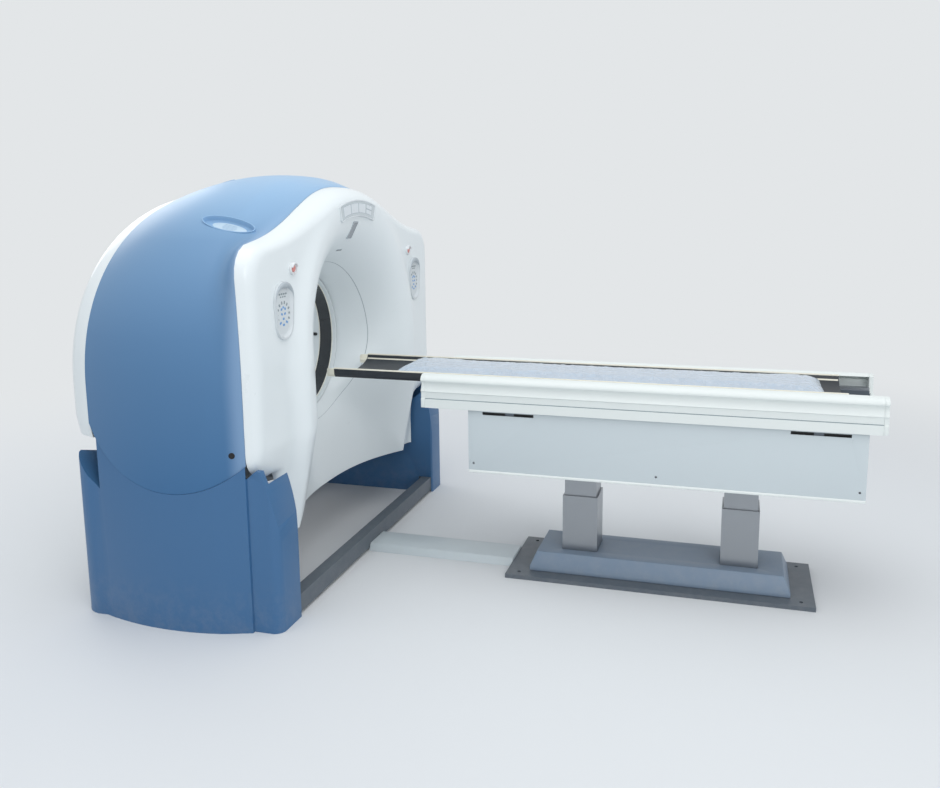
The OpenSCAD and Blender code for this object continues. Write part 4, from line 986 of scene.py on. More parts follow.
class SCANNER_OT_stage(Operator):
    """Camera, soft studio light, plain floor and backdrop"""

    bl_idname = "scanner.stage"
    bl_label = "Stage"

    def execute(self, context):
        scene, look = context.scene, looks("stage")
        turn = CAMERA_AHEAD.to_track_quat("-Z", "Y") @ Matrix.Rotation(CAMERA_ROLL, 3, "Z").to_quaternion()
        deselect()
        bpy.ops.object.camera_add(location=CAMERA_AT, rotation=turn.to_euler())
        scene.camera = context.object
        scene.camera.name = "photo_camera"
        lens = scene.camera.data
        lens.lens, lens.sensor_width, lens.clip_end = look.lens, SENSOR, 200
        lens.shift_x, lens.shift_y = CAMERA_SHIFT
        for name, place, aim, size, power in LAMPS:
            turn = (Vector(aim) - Vector(place)).to_track_quat("-Z", "Y").to_euler()
            bpy.ops.object.light_add(type="AREA", location=place, rotation=turn)
            context.object.name = name
            lamp = context.object.data
            lamp.shape, lamp.size, lamp.energy = "DISK", size, power
        bpy.ops.mesh.primitive_grid_add(x_subdivisions=40, y_subdivisions=40, size=FLOOR_SIZE,
                                        location=(0, -1, 0))
        floor = named(context.object, "studio_floor")
        floor.data.materials.append(floor_finish(look.floor))
        self.light_world(scene, look.floor)
        scene.view_settings.view_transform = "Standard"
        return {"FINISHED"}

    @staticmethod
    def light_world(scene, shade):
        world = scene.world or bpy.data.worlds.new("studio world")
        scene.world = world
        world.use_nodes = True
        tree = world.node_tree
        tree.nodes.clear()
        soft = add(tree, "ShaderNodeBackground", {"Color": SKY, "Strength": SKY_LIGHT}).outputs[0]
        plain = add(tree, "ShaderNodeBackground", {"Color": (*shade, 1), "Strength": 1.0}).outputs[0]
        add(tree, "ShaderNodeOutputWorld", {"Surface": either(tree, seen_directly(tree), soft, plain)})


class SCANNER_OT_front_cover(Operator):
    """White front cover with its arched recess, ridge and two flanks"""

    bl_idname = "scanner.front_cover"
    bl_label = "Front cover"

    def execute(self, context):
        bowl = net("bowl", bowl_net(), turned=True)
        brow = net("brow", brow_net(), turned=True)
        cover = walled(edit_all(joined("front_shell", [brow, bowl]), merge_doubles), looks("covers").wall)
        for side in (-1, 1):
            panel, stop = on_flank(side * PANEL_X, PANEL_Z, 0.31), on_flank(side * STOP_X, STOP_Z, 0.31)
            pierce(cover, egg(PANEL_W + PLAY, PANEL_H + PLAY), panel, 0, 0.12)
            pierce(cover, oval(STOP_W + PLAY, STOP_W + PLAY), stop, 0, 0.12)
        band = arch_band(DISPLAY_LOW - PLAY / 2, DISPLAY_HIGH + PLAY / 2, DISPLAY_HALF + 0.03, DISPLAY_ROUND)
        pierce(cover, band, on_flank(0, 0, 0.315), 0, 0.12)
        for r, wide, tall, radius in LASERS:
            pierce(cover, rounded(wide + PLAY, tall + PLAY, radius), on_bowl(r), -0.04, 0.08)
        settle(smooth(cover, 40), "gantry", white_finish(), "white_cover", "front_cover")
        self.flange_line()
        return {"FINISHED"}

    @staticmethod
    def flange_line():
        """The fine joint round the bore, seen as a crescent on the wall of the recess."""
        angle = np.linspace(0, 360, 193)[:, None]
        r = JOINT_R + np.array([[-0.0011, -0.0005, 0.0005, 0.0011]])
        lift = np.array([[-0.0004, 0.0004, 0.0004, -0.0004]])
        ring = recess_ring()[:-1]
        lean = lean_of(ring)
        reach = np.interp(angle[:, 0], lean, np.linalg.norm(ring, axis=1), period=360)[:, None]
        depth = np.interp(angle[:, 0], lean, crest_out(ring), period=360)[:, None]
        y = -bowl_out((r - HOLE_R) / (reach - HOLE_R), depth) - lift
        line = net("bore_joint_line", on_gantry(r * cosine(angle), y, r * sine(angle)), turned=True)
        grey = finish("joint line", tint("aab4ba"), (0.5, 0.6), 900, 0.00005, 0.2, 0.04)
        settle(smooth(line), "gantry", grey, "bore_plastic")


class SCANNER_OT_side_covers(Operator):
    """Blue side covers with the lip along their front edge and their openings"""

    bl_idname = "scanner.side_covers"
    bl_label = "Side covers"

    def execute(self, context):
        right = walled(net("right_side_shell", side_net(), turned=True), looks("covers").wall)
        pierce(right, oval(GRIP_W + PLAY, GRIP_H + PLAY), on_skin(*GRIP_AT), -0.08, 0.14)
        pierce(right, oval(CAP_W + PLAY, CAP_H + PLAY), on_skin(*CAP_AT), -0.03, 0.06)
        smooth(right, 40)
        left = mirrored(right, "left_side_shell")
        for piece, node in ((right, "right_side_cover"), (left, "left_side_cover")):
            settle(piece, "gantry", side_finish(), "side_blue", node)
        return {"FINISHED"}


class SCANNER_OT_rear_cover(Operator):
    """White rear cover round the flare"""

    bl_idname = "scanner.rear_cover"
    bl_label = "Rear cover"

    def execute(self, context):
        cover = smooth(walled(net("rear_shell", rear_net()), looks("covers").wall), 40)
        settle(cover, "gantry", white_finish(), "white_cover", "rear_cover")
        return {"FINISHED"}


NOSE_R, RING_SEAT_R, HOOP_OUT, HOOP_WALL = 0.0065, 0.385, 0.003, 0.004
FLANGE_BACK, NOSE_BACK = 0.0063, 0.004


class SCANNER_OT_bore(Operator):
    """Front ring, light rings, scan window, liner and flare of the patient bore"""

    bl_idname = "scanner.bore"
    bl_label = "Bore"

    def execute(self, context):
        steps = looks("bore").steps
        edge, white = WINDOW_HW + LIGHT_W, bore_finish()
        trim = lathe("bore_trim", self.ring_section(edge), steps)
        settle(smooth(trim, 40), "gantry", white, "bore_plastic", "front_bore_ring")
        ends = ((WINDOW_HW, edge), (-edge, -WINDOW_HW))
        hoops = [lathe("hoop", self.hoop_section(a, b), steps) for a, b in ends]
        settle(smooth(joined("light_hoops", hoops), 40), "gantry", glow_finish(), "light_ring", "light_rings")
        back, wall = BORE_R + 0.002, BORE_R + 0.004
        band = [(BORE_R, -WINDOW_HW), (back, -WINDOW_HW), (back, WINDOW_HW), (BORE_R, WINDOW_HW)]
        liner = [(BORE_R, -LINER_BACK), (wall, -LINER_BACK), (wall, -edge), (BORE_R, -edge)]
        flare = [(BORE_R, -LINER_BACK), (FLARE_R, -FLARE_BACK), (FLARE_R + 0.004, -FLARE_BACK - 0.008),
                 (FLARE_R + 0.006, -FLARE_BACK - 0.008), (FLARE_R + 0.006, -FLARE_BACK),
                 (BORE_R + 0.005, -LINER_BACK)]
        for name, section, shade, slot, node in (
            ("scan_band", band, window_finish(), "window_dark", "scan_window"),
            ("inner_liner", liner, white, "bore_plastic", "rear_bore_liner"),
            ("rear_cone", flare, white, "bore_plastic", "rear_flare"),
        ):
            settle(smooth(lathe(name, section, steps), 40), "gantry", shade, slot, node)
        spot = seat((BORE_R - 0.0015, 0.07, ISO - 0.015), (0, -1, 0), (0, 0, 1), (-1, 0, 0))
        knob = raised("bore_microphone", rounded(0.034, 0.016, 0.006), spot, -0.002,
                      [(0.008, 0), (0.002, 0.002), (0, 0.003)])
        settle(smooth(knob), "gantry", black_finish(), "window_dark")
        return {"FINISHED"}

    @staticmethod
    def ring_section(edge):
        """Section of the front ring, with its rounded nose round the mouth of the bore."""
        flange, mouth = RING_OUT - FLANGE_BACK, RING_OUT - NOSE_BACK
        turn = np.linspace(0, math.pi, 9)
        nose = [(BORE_R + NOSE_R + NOSE_R * math.cos(a), mouth + NOSE_R * math.sin(a)) for a in turn]
        return [(BORE_R, edge), (RING_SEAT_R, edge), (RING_SEAT_R, flange), (RING_R, flange),
                (RING_R, RING_OUT - 0.001), *[(r, y) for r, y in nose if BORE_R < r < RING_R - 0.0004],
                (BORE_R, mouth)]

    @staticmethod
    def hoop_section(a, b):
        """Section of a light ring between two depths, chamfered where it stands into the bore."""
        crown, wall = BORE_R - HOOP_OUT, BORE_R + HOOP_WALL
        return [(crown, a + 0.001), (crown + 0.001, a), (wall, a),
                (wall, b), (crown + 0.001, b), (crown, b - 0.001)]


class SCANNER_OT_display(Operator):
    """Arched gantry display and the two windows above the bore"""

    bl_idname = "scanner.display"
    bl_label = "Display and laser windows"

    def execute(self, context):
        glass = finish("display pane", looks("controls").glass, (0.08, 0.14), 400, 0.00002, 0.2, 0.03,
                       coat=0.6)
        tray = finish("display frame", tint("dde3e6"), (0.3, 0.4), 800, 0.00006, 0.3, 0.03)
        band = arch_band(DISPLAY_LOW, DISPLAY_HIGH, DISPLAY_HALF, DISPLAY_ROUND)
        surround = raised("display_frame", band, on_flank(0, 0, DISPLAY_BACK), 0,
                          [(0.027, 0), (0.002, 0.002), (0, 0.004), (-0.003, 0.001)])
        settle(smooth(surround), "gantry", tray, "control_grey", "display_panel")
        band = arch_band(DISPLAY_LOW + PANE_RIM, DISPLAY_HIGH - PANE_RIM, DISPLAY_HALF - 0.7, 0.008)
        pane = raised("display_pane", band, on_flank(0, 0, DISPLAY_BACK + 0.0255), 0,
                      [(0.0012, 0), (0.0006, 0.0008)])
        settle(smooth(pane), "gantry", glass, "window_dark")
        self.readouts()
        self.lasers()
        return {"FINISHED"}

    @staticmethod
    def readouts():
        """Blank pale fields of the display, each over an edge that is slightly wider."""
        lit = finish("display readout", tint("dde4e8"), (0.25, 0.35), 900, 0.00003, 0.2, 0.04)
        dim = finish("display mask", tint("b3bec5"), (0.25, 0.35), 900, 0.00003, 0.2, 0.04)
        for name, grow, rise, shade, slot in (
            ("display_cell_edges", 0.0022, 0.0004, dim, "control_grey"),
            ("display_cells", 0.0, 0.0008, lit, "key_pale"),
        ):
            cells = []
            for middle, half, low, high in READOUTS:
                band = arch_band(low - grow, high + grow, half + math.degrees(grow / READOUT_R), 0.004 + grow)
                place = on_flank(0, 0, DISPLAY_BACK + 0.0273)
                cells.append(raised("cell", spun(band, -math.radians(middle)), place, 0, [(rise, 0)]))
            settle(joined(name, cells), "gantry", shade, slot)

    @staticmethod
    def lasers():
        """The window and the slot that the aiming lights shine through."""
        rim = finish("laser window frame", tint("b7c0c6"), (0.3, 0.4), 800, 0.00006, 0.3, 0.03)
        dark = finish("laser window glass", tint("7d8890"), (0.06, 0.12), 300, 0.00002, 0.1, 0.04, coat=0.7)
        black = finish("laser slot glass", tint("2d3237"), (0.08, 0.14), 300, 0.00002, 0.1, 0.04, coat=0.7)
        frames, panes = [], []
        for (r, wide, tall, radius), name in zip(LASERS, ("laser_pane", "laser_slot_pane")):
            frames.append(raised("frame", rounded(wide, tall, radius), on_bowl(r), -0.01,
                                 [(0.0115, 0), (0.0006, 0.001), (0, 0.0015), (-0.0022, 0.0005)]))
            inner = rounded(wide - 0.006, tall - 0.006, radius / 2)
            panes.append(raised(name, inner, on_bowl(r), -0.0002, [(0.0008, 0)]))
        settle(smooth(joined("laser_frames", frames)), "gantry", rim, "control_grey", "laser_windows")
        for pane, shade in zip(panes, (dark, black)):
            settle(pane, "gantry", shade, "window_dark")


class SCANNER_OT_controls(Operator):
    """The two hooded control panels with their keys"""

    bl_idname = "scanner.controls"
    bl_label = "Control panels"

    def execute(self, context):
        shades = looks("controls")
        # The hood's darker grey is painted shade over the upper part of the dish.
        hood = finish("control hood painted shade", shades.hood, (0.35, 0.48), 600, 0.0001, 0.3, 0.04)
        dish = finish("control dish", shades.dish, (0.35, 0.48), 600, 0.0001, 0.3, 0.03)
        for side, name in ((-1, "left"), (1, "right")):
            place = on_flank(side * PANEL_X, PANEL_Z, PANEL_BACK)
            body = raised(name + "_panel_body", egg(PANEL_W, PANEL_H), place, 0,
                          [(0.034, 0), (0.0015, 0.0015), (0.0005, 0.002), (0, 0.0075), (-0.0015, 0.001),
                           (-0.006, 0.0045), (-0.0035, 0.006)])
            settle(smooth(body, 30), "gantry", dish, "control_grey", name + "_control_panel")
            settle(self.hood(name + "_panel_hood", place), "gantry", hood, "control_grey")
        self.keys(shades)
        return {"FINISHED"}

    @staticmethod
    def hood(name, place):
        """A crescent visor over the upper part of the dish, highest and widest at the top."""
        ring = egg(PANEL_W - 0.002, PANEL_H - 0.002, 180)
        turn = (lean_of(ring - [0, PANEL_H / 2 - PANEL_W / 2]) + 60) % 360
        rim = ring[np.argsort(turn)][np.sort(turn) < 300]
        along = np.gradient(rim, axis=0)
        inward = np.column_stack([-along[:, 1], along[:, 0]]) / np.linalg.norm(along, axis=1)[:, None]
        t = np.linspace(0, 1, len(rim))[:, None]
        swell = np.sin(np.pi * t) ** 1.6
        wide = (0.0005 + 0.0255 * swell) * np.minimum(1, 30 * np.minimum(t, 1 - t))
        section = [(0, -0.5), (0, 0.35), (0.05, 0.7), (0.16, 0.93), (0.32, 1.0), (0.5, 0.97),
                   (0.7, 0.8), (0.86, 0.45), (0.97, 0.0), (1.0, -0.6), (0.5, -0.8), (0, -0.5)]
        across, up = np.transpose(section)
        flat = rim[:, None, :] + inward[:, None, :] * (wide * across)[:, :, None]
        rise = 0.0362 + swell * up * np.where(up > 0, 0.0085, 0.006)
        piece = net(name, np.concatenate([flat, rise[:, :, None]], axis=2))
        edit_all(piece, lambda: bpy.ops.mesh.fill_holes(sides=40), outwards)
        piece.data.transform(place)
        return smooth(piece, 60)

    @staticmethod
    def keys(shades):
        """Oval keys: a row under the hood, an arc, and a cluster for the table and the tilt."""
        grey = finish("key grey", shades.key, (0.4, 0.5), 900, 0.00006, 0.2, 0.05)
        blue = finish("key blue", shades.blue_key, (0.35, 0.45), 900, 0.00006, 0.2, 0.05)
        row = [(x, 0.072, 0, 0.013, 0.008) for x in (-0.027, -0.009, 0.009, 0.027)]
        row += [(x, 0.06, 0, 0.011, 0.006) for x in (-0.018, 0.0, 0.018)]
        arc = [(KEY_ARC_R * math.cos(a), KEY_ARC_R * math.sin(a) - 0.014, a - math.pi / 2, 0.009, 0.014)
               for a in np.radians(np.linspace(205, -25, 10))]
        heart = [(-0.015, 0.008, 0.4, 0.014, 0.01), (0.0, 0.015, 0, 0.013, 0.009),
                 (0.015, 0.008, -0.4, 0.014, 0.01), (-0.013, -0.013, -0.4, 0.014, 0.01),
                 (0.013, -0.013, 0.4, 0.014, 0.01), (0.0, -0.034, 0, 0.015, 0.01),
                 (-0.026, -0.05, 0.5, 0.016, 0.01), (0.0, -0.06, 0, 0.017, 0.01),
                 (0.026, -0.05, -0.5, 0.016, 0.01)]
        groups = (("grey", grey, row + arc, ["panel_keys"]), ("blue", blue, heart, []))
        for name, shade, group, nodes in groups:
            made = []
            for side in (-1, 1):
                for x, z, turn, wide, tall in group:
                    flat = spun(rounded(wide, tall, min(wide, tall) * 0.4, 4), turn)
                    place = on_flank(side * PANEL_X + x, PANEL_Z + z, PANEL_BACK + 0.0235)
                    made.append(raised("key", flat, place, 0, [(0.0022, 0), (0.0006, 0.0008)]))
            settle(smooth(joined("panel_keys_" + name, made), 30), "gantry", shade, "key_pale", *nodes)


class SCANNER_OT_stops(Operator):
    """The two emergency stops, each a red cap under a small hood"""

    bl_idname = "scanner.stops"
    bl_label = "Emergency stops"

    def execute(self, context):
        shell = finish("stop housing", tint("e4e8ea"), (0.3, 0.4), 800, 0.00006, 0.3, 0.03)
        red = finish("stop cap", looks("controls").stop, (0.3, 0.42), 800, 0.00006, 0.3, 0.05)
        arc = np.linspace(15, 165, 25)
        visor = np.vstack([around(arc, STOP_VISOR_R), around(arc, 0.8 * STOP_VISOR_R)[::-1]])
        parts = []
        for side, name in ((-1, "left_stop"), (1, "right_stop")):
            place = on_flank(side * STOP_X, STOP_Z, PANEL_BACK)
            parts.append(raised("cup", oval(STOP_W, STOP_W), place, 0,
                                [(0.034, 0), (0.001, 0.001), (0, 0.003), (-0.001, 0.0008), (-0.004, 0.0002),
                                 (0, 0.0062), (-0.018, 0.0004)]))
            parts.append(raised("hood", visor, place, 0.033, [(0.009, 0), (0.0015, 0.0012)]))
            front = on_flank(side * STOP_X, STOP_Z, FLANK - 0.006)
            cap = raised(name + "_cap", oval(STOP_CAP_W, STOP_CAP_W, 48), front, 0,
                         [(0.014, 0), (0.0012, 0.0006), (0.0009, 0.0014), (0.0006, 0.003), (0.0002, 0.005)])
            settle(smooth(cap, 30), name, red, "stop_red", name + "_button")
        settle(smooth(joined("stop_cups", parts), 30), "gantry", shell, "bore_plastic", "stop_housings")
        return {"FINISHED"}


class SCANNER_OT_vents(Operator):
    """Sunk oval grips with air slots on the shoulders, small caps on the dome and a lifting plug"""

    bl_idname = "scanner.vents"
    bl_label = "Vents and caps"

    def execute(self, context):
        blues = looks("covers")
        # Mostly the high side blue, so the grips and caps take on the painted light of the upper cover.
        edge = finish("vent blue", [0.8 * a + 0.2 * b for a, b in zip(blues.blue_painted_light_top, blues.blue_painted_shade_low)],
                      (0.3, 0.4), 800, 0.00008, 0.3, 0.04)
        pale = finish("grip tray", tint("c3d8e6"), (0.3, 0.4), 800, 0.00006, 0.2, 0.03)
        place = on_skin(*GRIP_AT)
        dish = raised("vent", oval(GRIP_W, GRIP_H, 96), place, -0.038,
                      [(0.0375, 0), (0.0006, 0.0006), (0, 0.004), (-0.001, 0.0008), (-0.012, 0.002),
                       (-0.008, 0.003), (-0.003, 0.004)])
        cap = raised("cap", oval(CAP_W, CAP_H), on_skin(*CAP_AT), -0.01,
                     [(0.0115, 0), (0.001, 0.0008), (0.0005, 0.0015), (0, 0.004), (-0.001, 0.001),
                      (0, 0.004)])
        plug = raised("plug", oval(PLUG_W, PLUG_W, 40), self.plug_place(), -0.004,
                      [(0.0052, 0), (0.0006, 0.001), (0, 0.002), (-0.0012, 0.0008), (0, 0.004)])
        for name, piece, shade, slot, nodes in (
            ("shoulder_grips", dish, edge, "base_blue", ["shoulder_vents"]),
            ("grip_trays", self.slotted_tray(place), pale, "bore_plastic", []),
            ("dome_plugs", cap, edge, "base_blue", ["dome_caps"]),
            ("lifting_plugs", plug, black_finish(), "window_dark", []),
        ):
            settle(paired(name, smooth(piece, 30)), "gantry", shade, slot, *nodes)
        return {"FINISHED"}

    @staticmethod
    def slotted_tray(place):
        """The pale floor of a grip, with five air slots that are shorter towards its sides."""
        slots = []
        for k in range(-2, 3):
            outline = rounded(0.0022, 0.07 - 0.006 * abs(k), 0.001, 4) + [SLOT_PITCH * k, 0]
            slots.append(raised("slot", outline, place, -0.045, [(0.06, 0)]))
        tray = raised("tray", oval(0.05, 0.165, 72), place, -0.0245, [(0.0012, 0), (0.0005, 0.0012)])
        return cut(tray, joined("tool", slots))

    @staticmethod
    def plug_place():
        """Seat of the plug low on the side cover, where the gantry is lifted for transport."""
        along = skin_point(PLUG_ANGLE, PLUG_Y + 0.01) - skin_point(PLUG_ANGLE, PLUG_Y - 0.01)
        up = skin_point(PLUG_ANGLE + 0.5, PLUG_Y) - skin_point(PLUG_ANGLE - 0.5, PLUG_Y)
        return upright(skin_point(PLUG_ANGLE, PLUG_Y), up, np.cross(along, up))


class SCANNER_OT_base_covers(Operator):
    """Blue covers of the two floor pods"""

    bl_idname = "scanner.base_covers"
    bl_label = "Base covers"

    def execute(self, context):
        for side in ("left", "right"):
            node = side + "_base_cover"
            cover = dressed(node, side + "_pod", looks("covers").edge, pierced=True)
            settle(cover, "floor_base", base_finish(), "base_blue", node)
        return {"FINISHED"}


# Sizes of the table, in metres above the floor and along its length

CRADLE_H, TABLE_HW, CRADLE_HW = 0.985, 0.288, 0.212
TOP_Y0, TOP_Y1, CAP_LAP = -0.8, -2.86, 0.02
CRADLE_Y0, CRADLE_Y1, TIP = -0.275, -2.705, 0.044
FASCIA_H, PANEL_WALL = 0.156, 0.004
SKIRT_Y0, SKIRT_Y1, SKIRT_INSET = -1.03, -2.79, 0.02
CUP_H, CUP_FROM_END, SCREW_H, SCREW_FROM_END, SKIRT_LOW = 0.814, 0.1925, 0.57, 0.025, 0.5235
PAD_Y0, PAD_Y1, PAD_W, PAD_END_GAP, PAD_ROUND = -0.605, -2.625, 0.362, 0.012, 0.045
PAD_TOP, PAD_CROWN, PAD_DRAW, PAD_RISE, PAD_HELD = 0.9765, 0.0095, 0.012, 0.048, 0.012
PAD_SWELL, PAD_GAP, PAD_END_RUN, PAD_SIDE_RUN = 0.007, 0.0015, 0.09, 0.06
COARSE_CELL, FINE_CELL, CLOTH_FRAMES, CLOTH_PRESSURE = 0.012, 0.0095, 14, 4


def fascia_line(inset):
    """Section of a side moulding: a round nose, a groove, a hollow and two flat bands."""
    w, h, t = TABLE_HW - inset, CRADLE_H, inset
    nose = curve_through([
        (w - 0.062, h - 0.004 - t), (w - 0.046, h + 0.003 - t), (w - 0.026, h + 0.002 - t),
        (w - 0.01, h - 0.006 - t), (w - 0.001, h - 0.018 - t / 2), (w, h - 0.027 + t / 2),
    ], 5)
    hollow = curve_through([
        (w - 0.014, h - 0.031 + t / 2), (w - 0.016, h - 0.044), (w - 0.01, h - 0.062),
        (w - 0.002, h - 0.077 + t / 2),
    ], 6)
    flats = [(w - 0.008, h - 0.081 + t / 2), (w - 0.008, h - 0.112), (w - 0.004, h - 0.114),
             (w - 0.004, h - FASCIA_H)]
    return np.vstack([nose, hollow, flats])


class SCANNER_OT_table_top(Operator):
    """Side mouldings, end caps and joint lines of the table top"""

    bl_idname = "scanner.table_top"
    bl_label = "Table top"

    def execute(self, context):
        white = table_finish()
        loop = np.vstack([fascia_line(0), fascia_line(PANEL_WALL)[::-1]])
        right = smooth(rod_along("right_moulding", loop, TOP_Y0 - CAP_LAP, TOP_Y1 + CAP_LAP), 25)
        left = mirrored(right, "left_moulding")
        caps = dressed("table_end_caps", "end_caps", 0.0025, 50)
        for piece, node in ((right, "right_fascia"), (left, "left_fascia"), (caps, "table_end_caps")):
            settle(piece, "table_top", white, "white_cover", node)
        joint = [(TABLE_HW - inset, CRADLE_H - drop) for inset, drop in (
            (0.0083, 0.1105), (0.0072, 0.1105), (0.0046, 0.1128), (0.006, 0.1136), (0.0083, 0.1136))]
        line = rod_along("line", joint, TOP_Y0 - CAP_LAP - 0.001, TOP_Y1 + CAP_LAP + 0.001)
        dark = finish("moulding joint", tint("7f8f96"), (0.5, 0.6), 900, 0.00005, 0.2, 0.05)
        settle(paired("moulding_joints", line), "table_top", dark, "control_grey")
        return {"FINISHED"}


class SCANNER_OT_side_panels(Operator):
    """Lifting side panels with their grip slots, cups and screws"""

    bl_idname = "scanner.side_panels"
    bl_label = "Side panels"

    def execute(self, context):
        panels = dressed("side_panels", "skirt_panels", 0.0012, 50, True)
        settle(panels, "side_skirts", panel_finish(), "bore_plastic", "side_panels")
        face = TABLE_HW - SKIRT_INSET
        cups = [self.fitting("cup", rounded(0.251, 0.02, 0.004), face - 0.0042, y, CUP_H, -0.012,
                             [(0.012, 0), (0, 0.003), (-0.009, 0.001)])
                for y in (SKIRT_Y0 - CUP_FROM_END, SKIRT_Y1 + CUP_FROM_END)]
        screws = [self.fitting("screw", oval(0.011, 0.011, 24), face, y, SCREW_H, -0.001,
                               [(0.0014, 0), (0.0004, 0.0006), (0, 0.0012), (-0.0008, 0.0004)])
                  for y in (SKIRT_Y0 - SCREW_FROM_END, (SKIRT_Y0 + SKIRT_Y1) / 2, SKIRT_Y1 + SCREW_FROM_END)]
        lip = [(face + out, SKIRT_LOW + rise) for out, rise in (
            (0.0002, 0), (0.0035, 0.0015), (0.0042, 0.0045), (0.004, 0.0085), (0.0002, 0.0135))]
        strips = [smooth(rod_along("lip", lip, SKIRT_Y0, SKIRT_Y1), 50)]
        for name, parts, shade, slot in (("grip_cups", cups, black_finish(), "window_dark"),
                                         ("panel_screws", screws, steel_finish(), "bare_steel"),
                                         ("panel_lips", strips, table_finish(), "white_cover")):
            twins = [mirrored(p) for p in parts]
            settle(smooth(joined(name, parts + twins), 30), "side_skirts", shade, slot)
        return {"FINISHED"}

    @staticmethod
    def fitting(name, outline, x, y, z, low, steps):
        """A small piece on the outer face of the right panel."""
        return raised(name, outline, seat((x, y, z), (0, 1, 0), (0, 0, 1), (1, 0, 0)), low, steps)


def cradle_points(pairs):
    """Points given by how far they lie in from the cradle's side and below its top."""
    return [(CRADLE_HW - inset, CRADLE_H - drop) for inset, drop in pairs]


def cradle_upper():
    side = cradle_points([(0.012, 0.006), (0.024, 0.024), (0.06, 0.04)])
    hollow = [(0.1, CRADLE_H - 0.051), (0.05, CRADLE_H - 0.057), (0.0, CRADLE_H - 0.059)]
    return curve_through(side + hollow, 6)


class SCANNER_OT_cradle(Operator):
    """Dark hollow cradle with its cream rails and pointed tips"""

    bl_idname = "scanner.cradle"
    bl_label = "Cradle"

    def execute(self, context):
        front, cream = CRADLE_Y0 - TIP, cream_finish()
        runner = CRADLE_H - 0.0477
        under = [(0.0, CRADLE_H - 0.074), (0.06, CRADLE_H - 0.072), (0.11, CRADLE_H - 0.064),
                 (0.142, runner + 0.001), (0.154, runner), (0.2, runner),
                 *cradle_points([(0.002, 0.034), (0, 0.0062)])]
        half = np.vstack([under, cradle_upper()])
        shell = rod_along("cradle_shell", np.vstack([half, half[1:-1][::-1] * OTHER_SIDE]), front, CRADLE_Y1)
        settle(smooth(shell, 30), "cradle", carbon_finish(), "cradle_dark", "cradle")
        section = cradle_points([(0.012, 0.0058), (0.0119, 0.002), (0.0105, 0.0004), (0.0085, 0),
                                 (0.003, 0), (0.001, 0.0006), (0, 0.0024), (0, 0.0058)])
        rail = smooth(rod_along("rail", section, front, CRADLE_Y1), 50)
        settle(joined("cradle_rails", [rail, mirrored(rail)]), "cradle", cream, "rail_cream", "cradle_edges")
        settle(dressed("cradle_tip", "cradle_tips", 0.0022, 30), "cradle", cream, "rail_cream", "cradle_tip")
        track = cradle_points([(0.0262, 0.0268), (0.0222, 0.0208), (0.0234, 0.0196), (0.028, 0.0258)])
        strip = rod_along("strip", track, front - 0.004, CRADLE_Y1 + 0.004)
        settle(paired("strap_tracks", strip), "cradle", cream, "rail_cream")
        return {"FINISHED"}


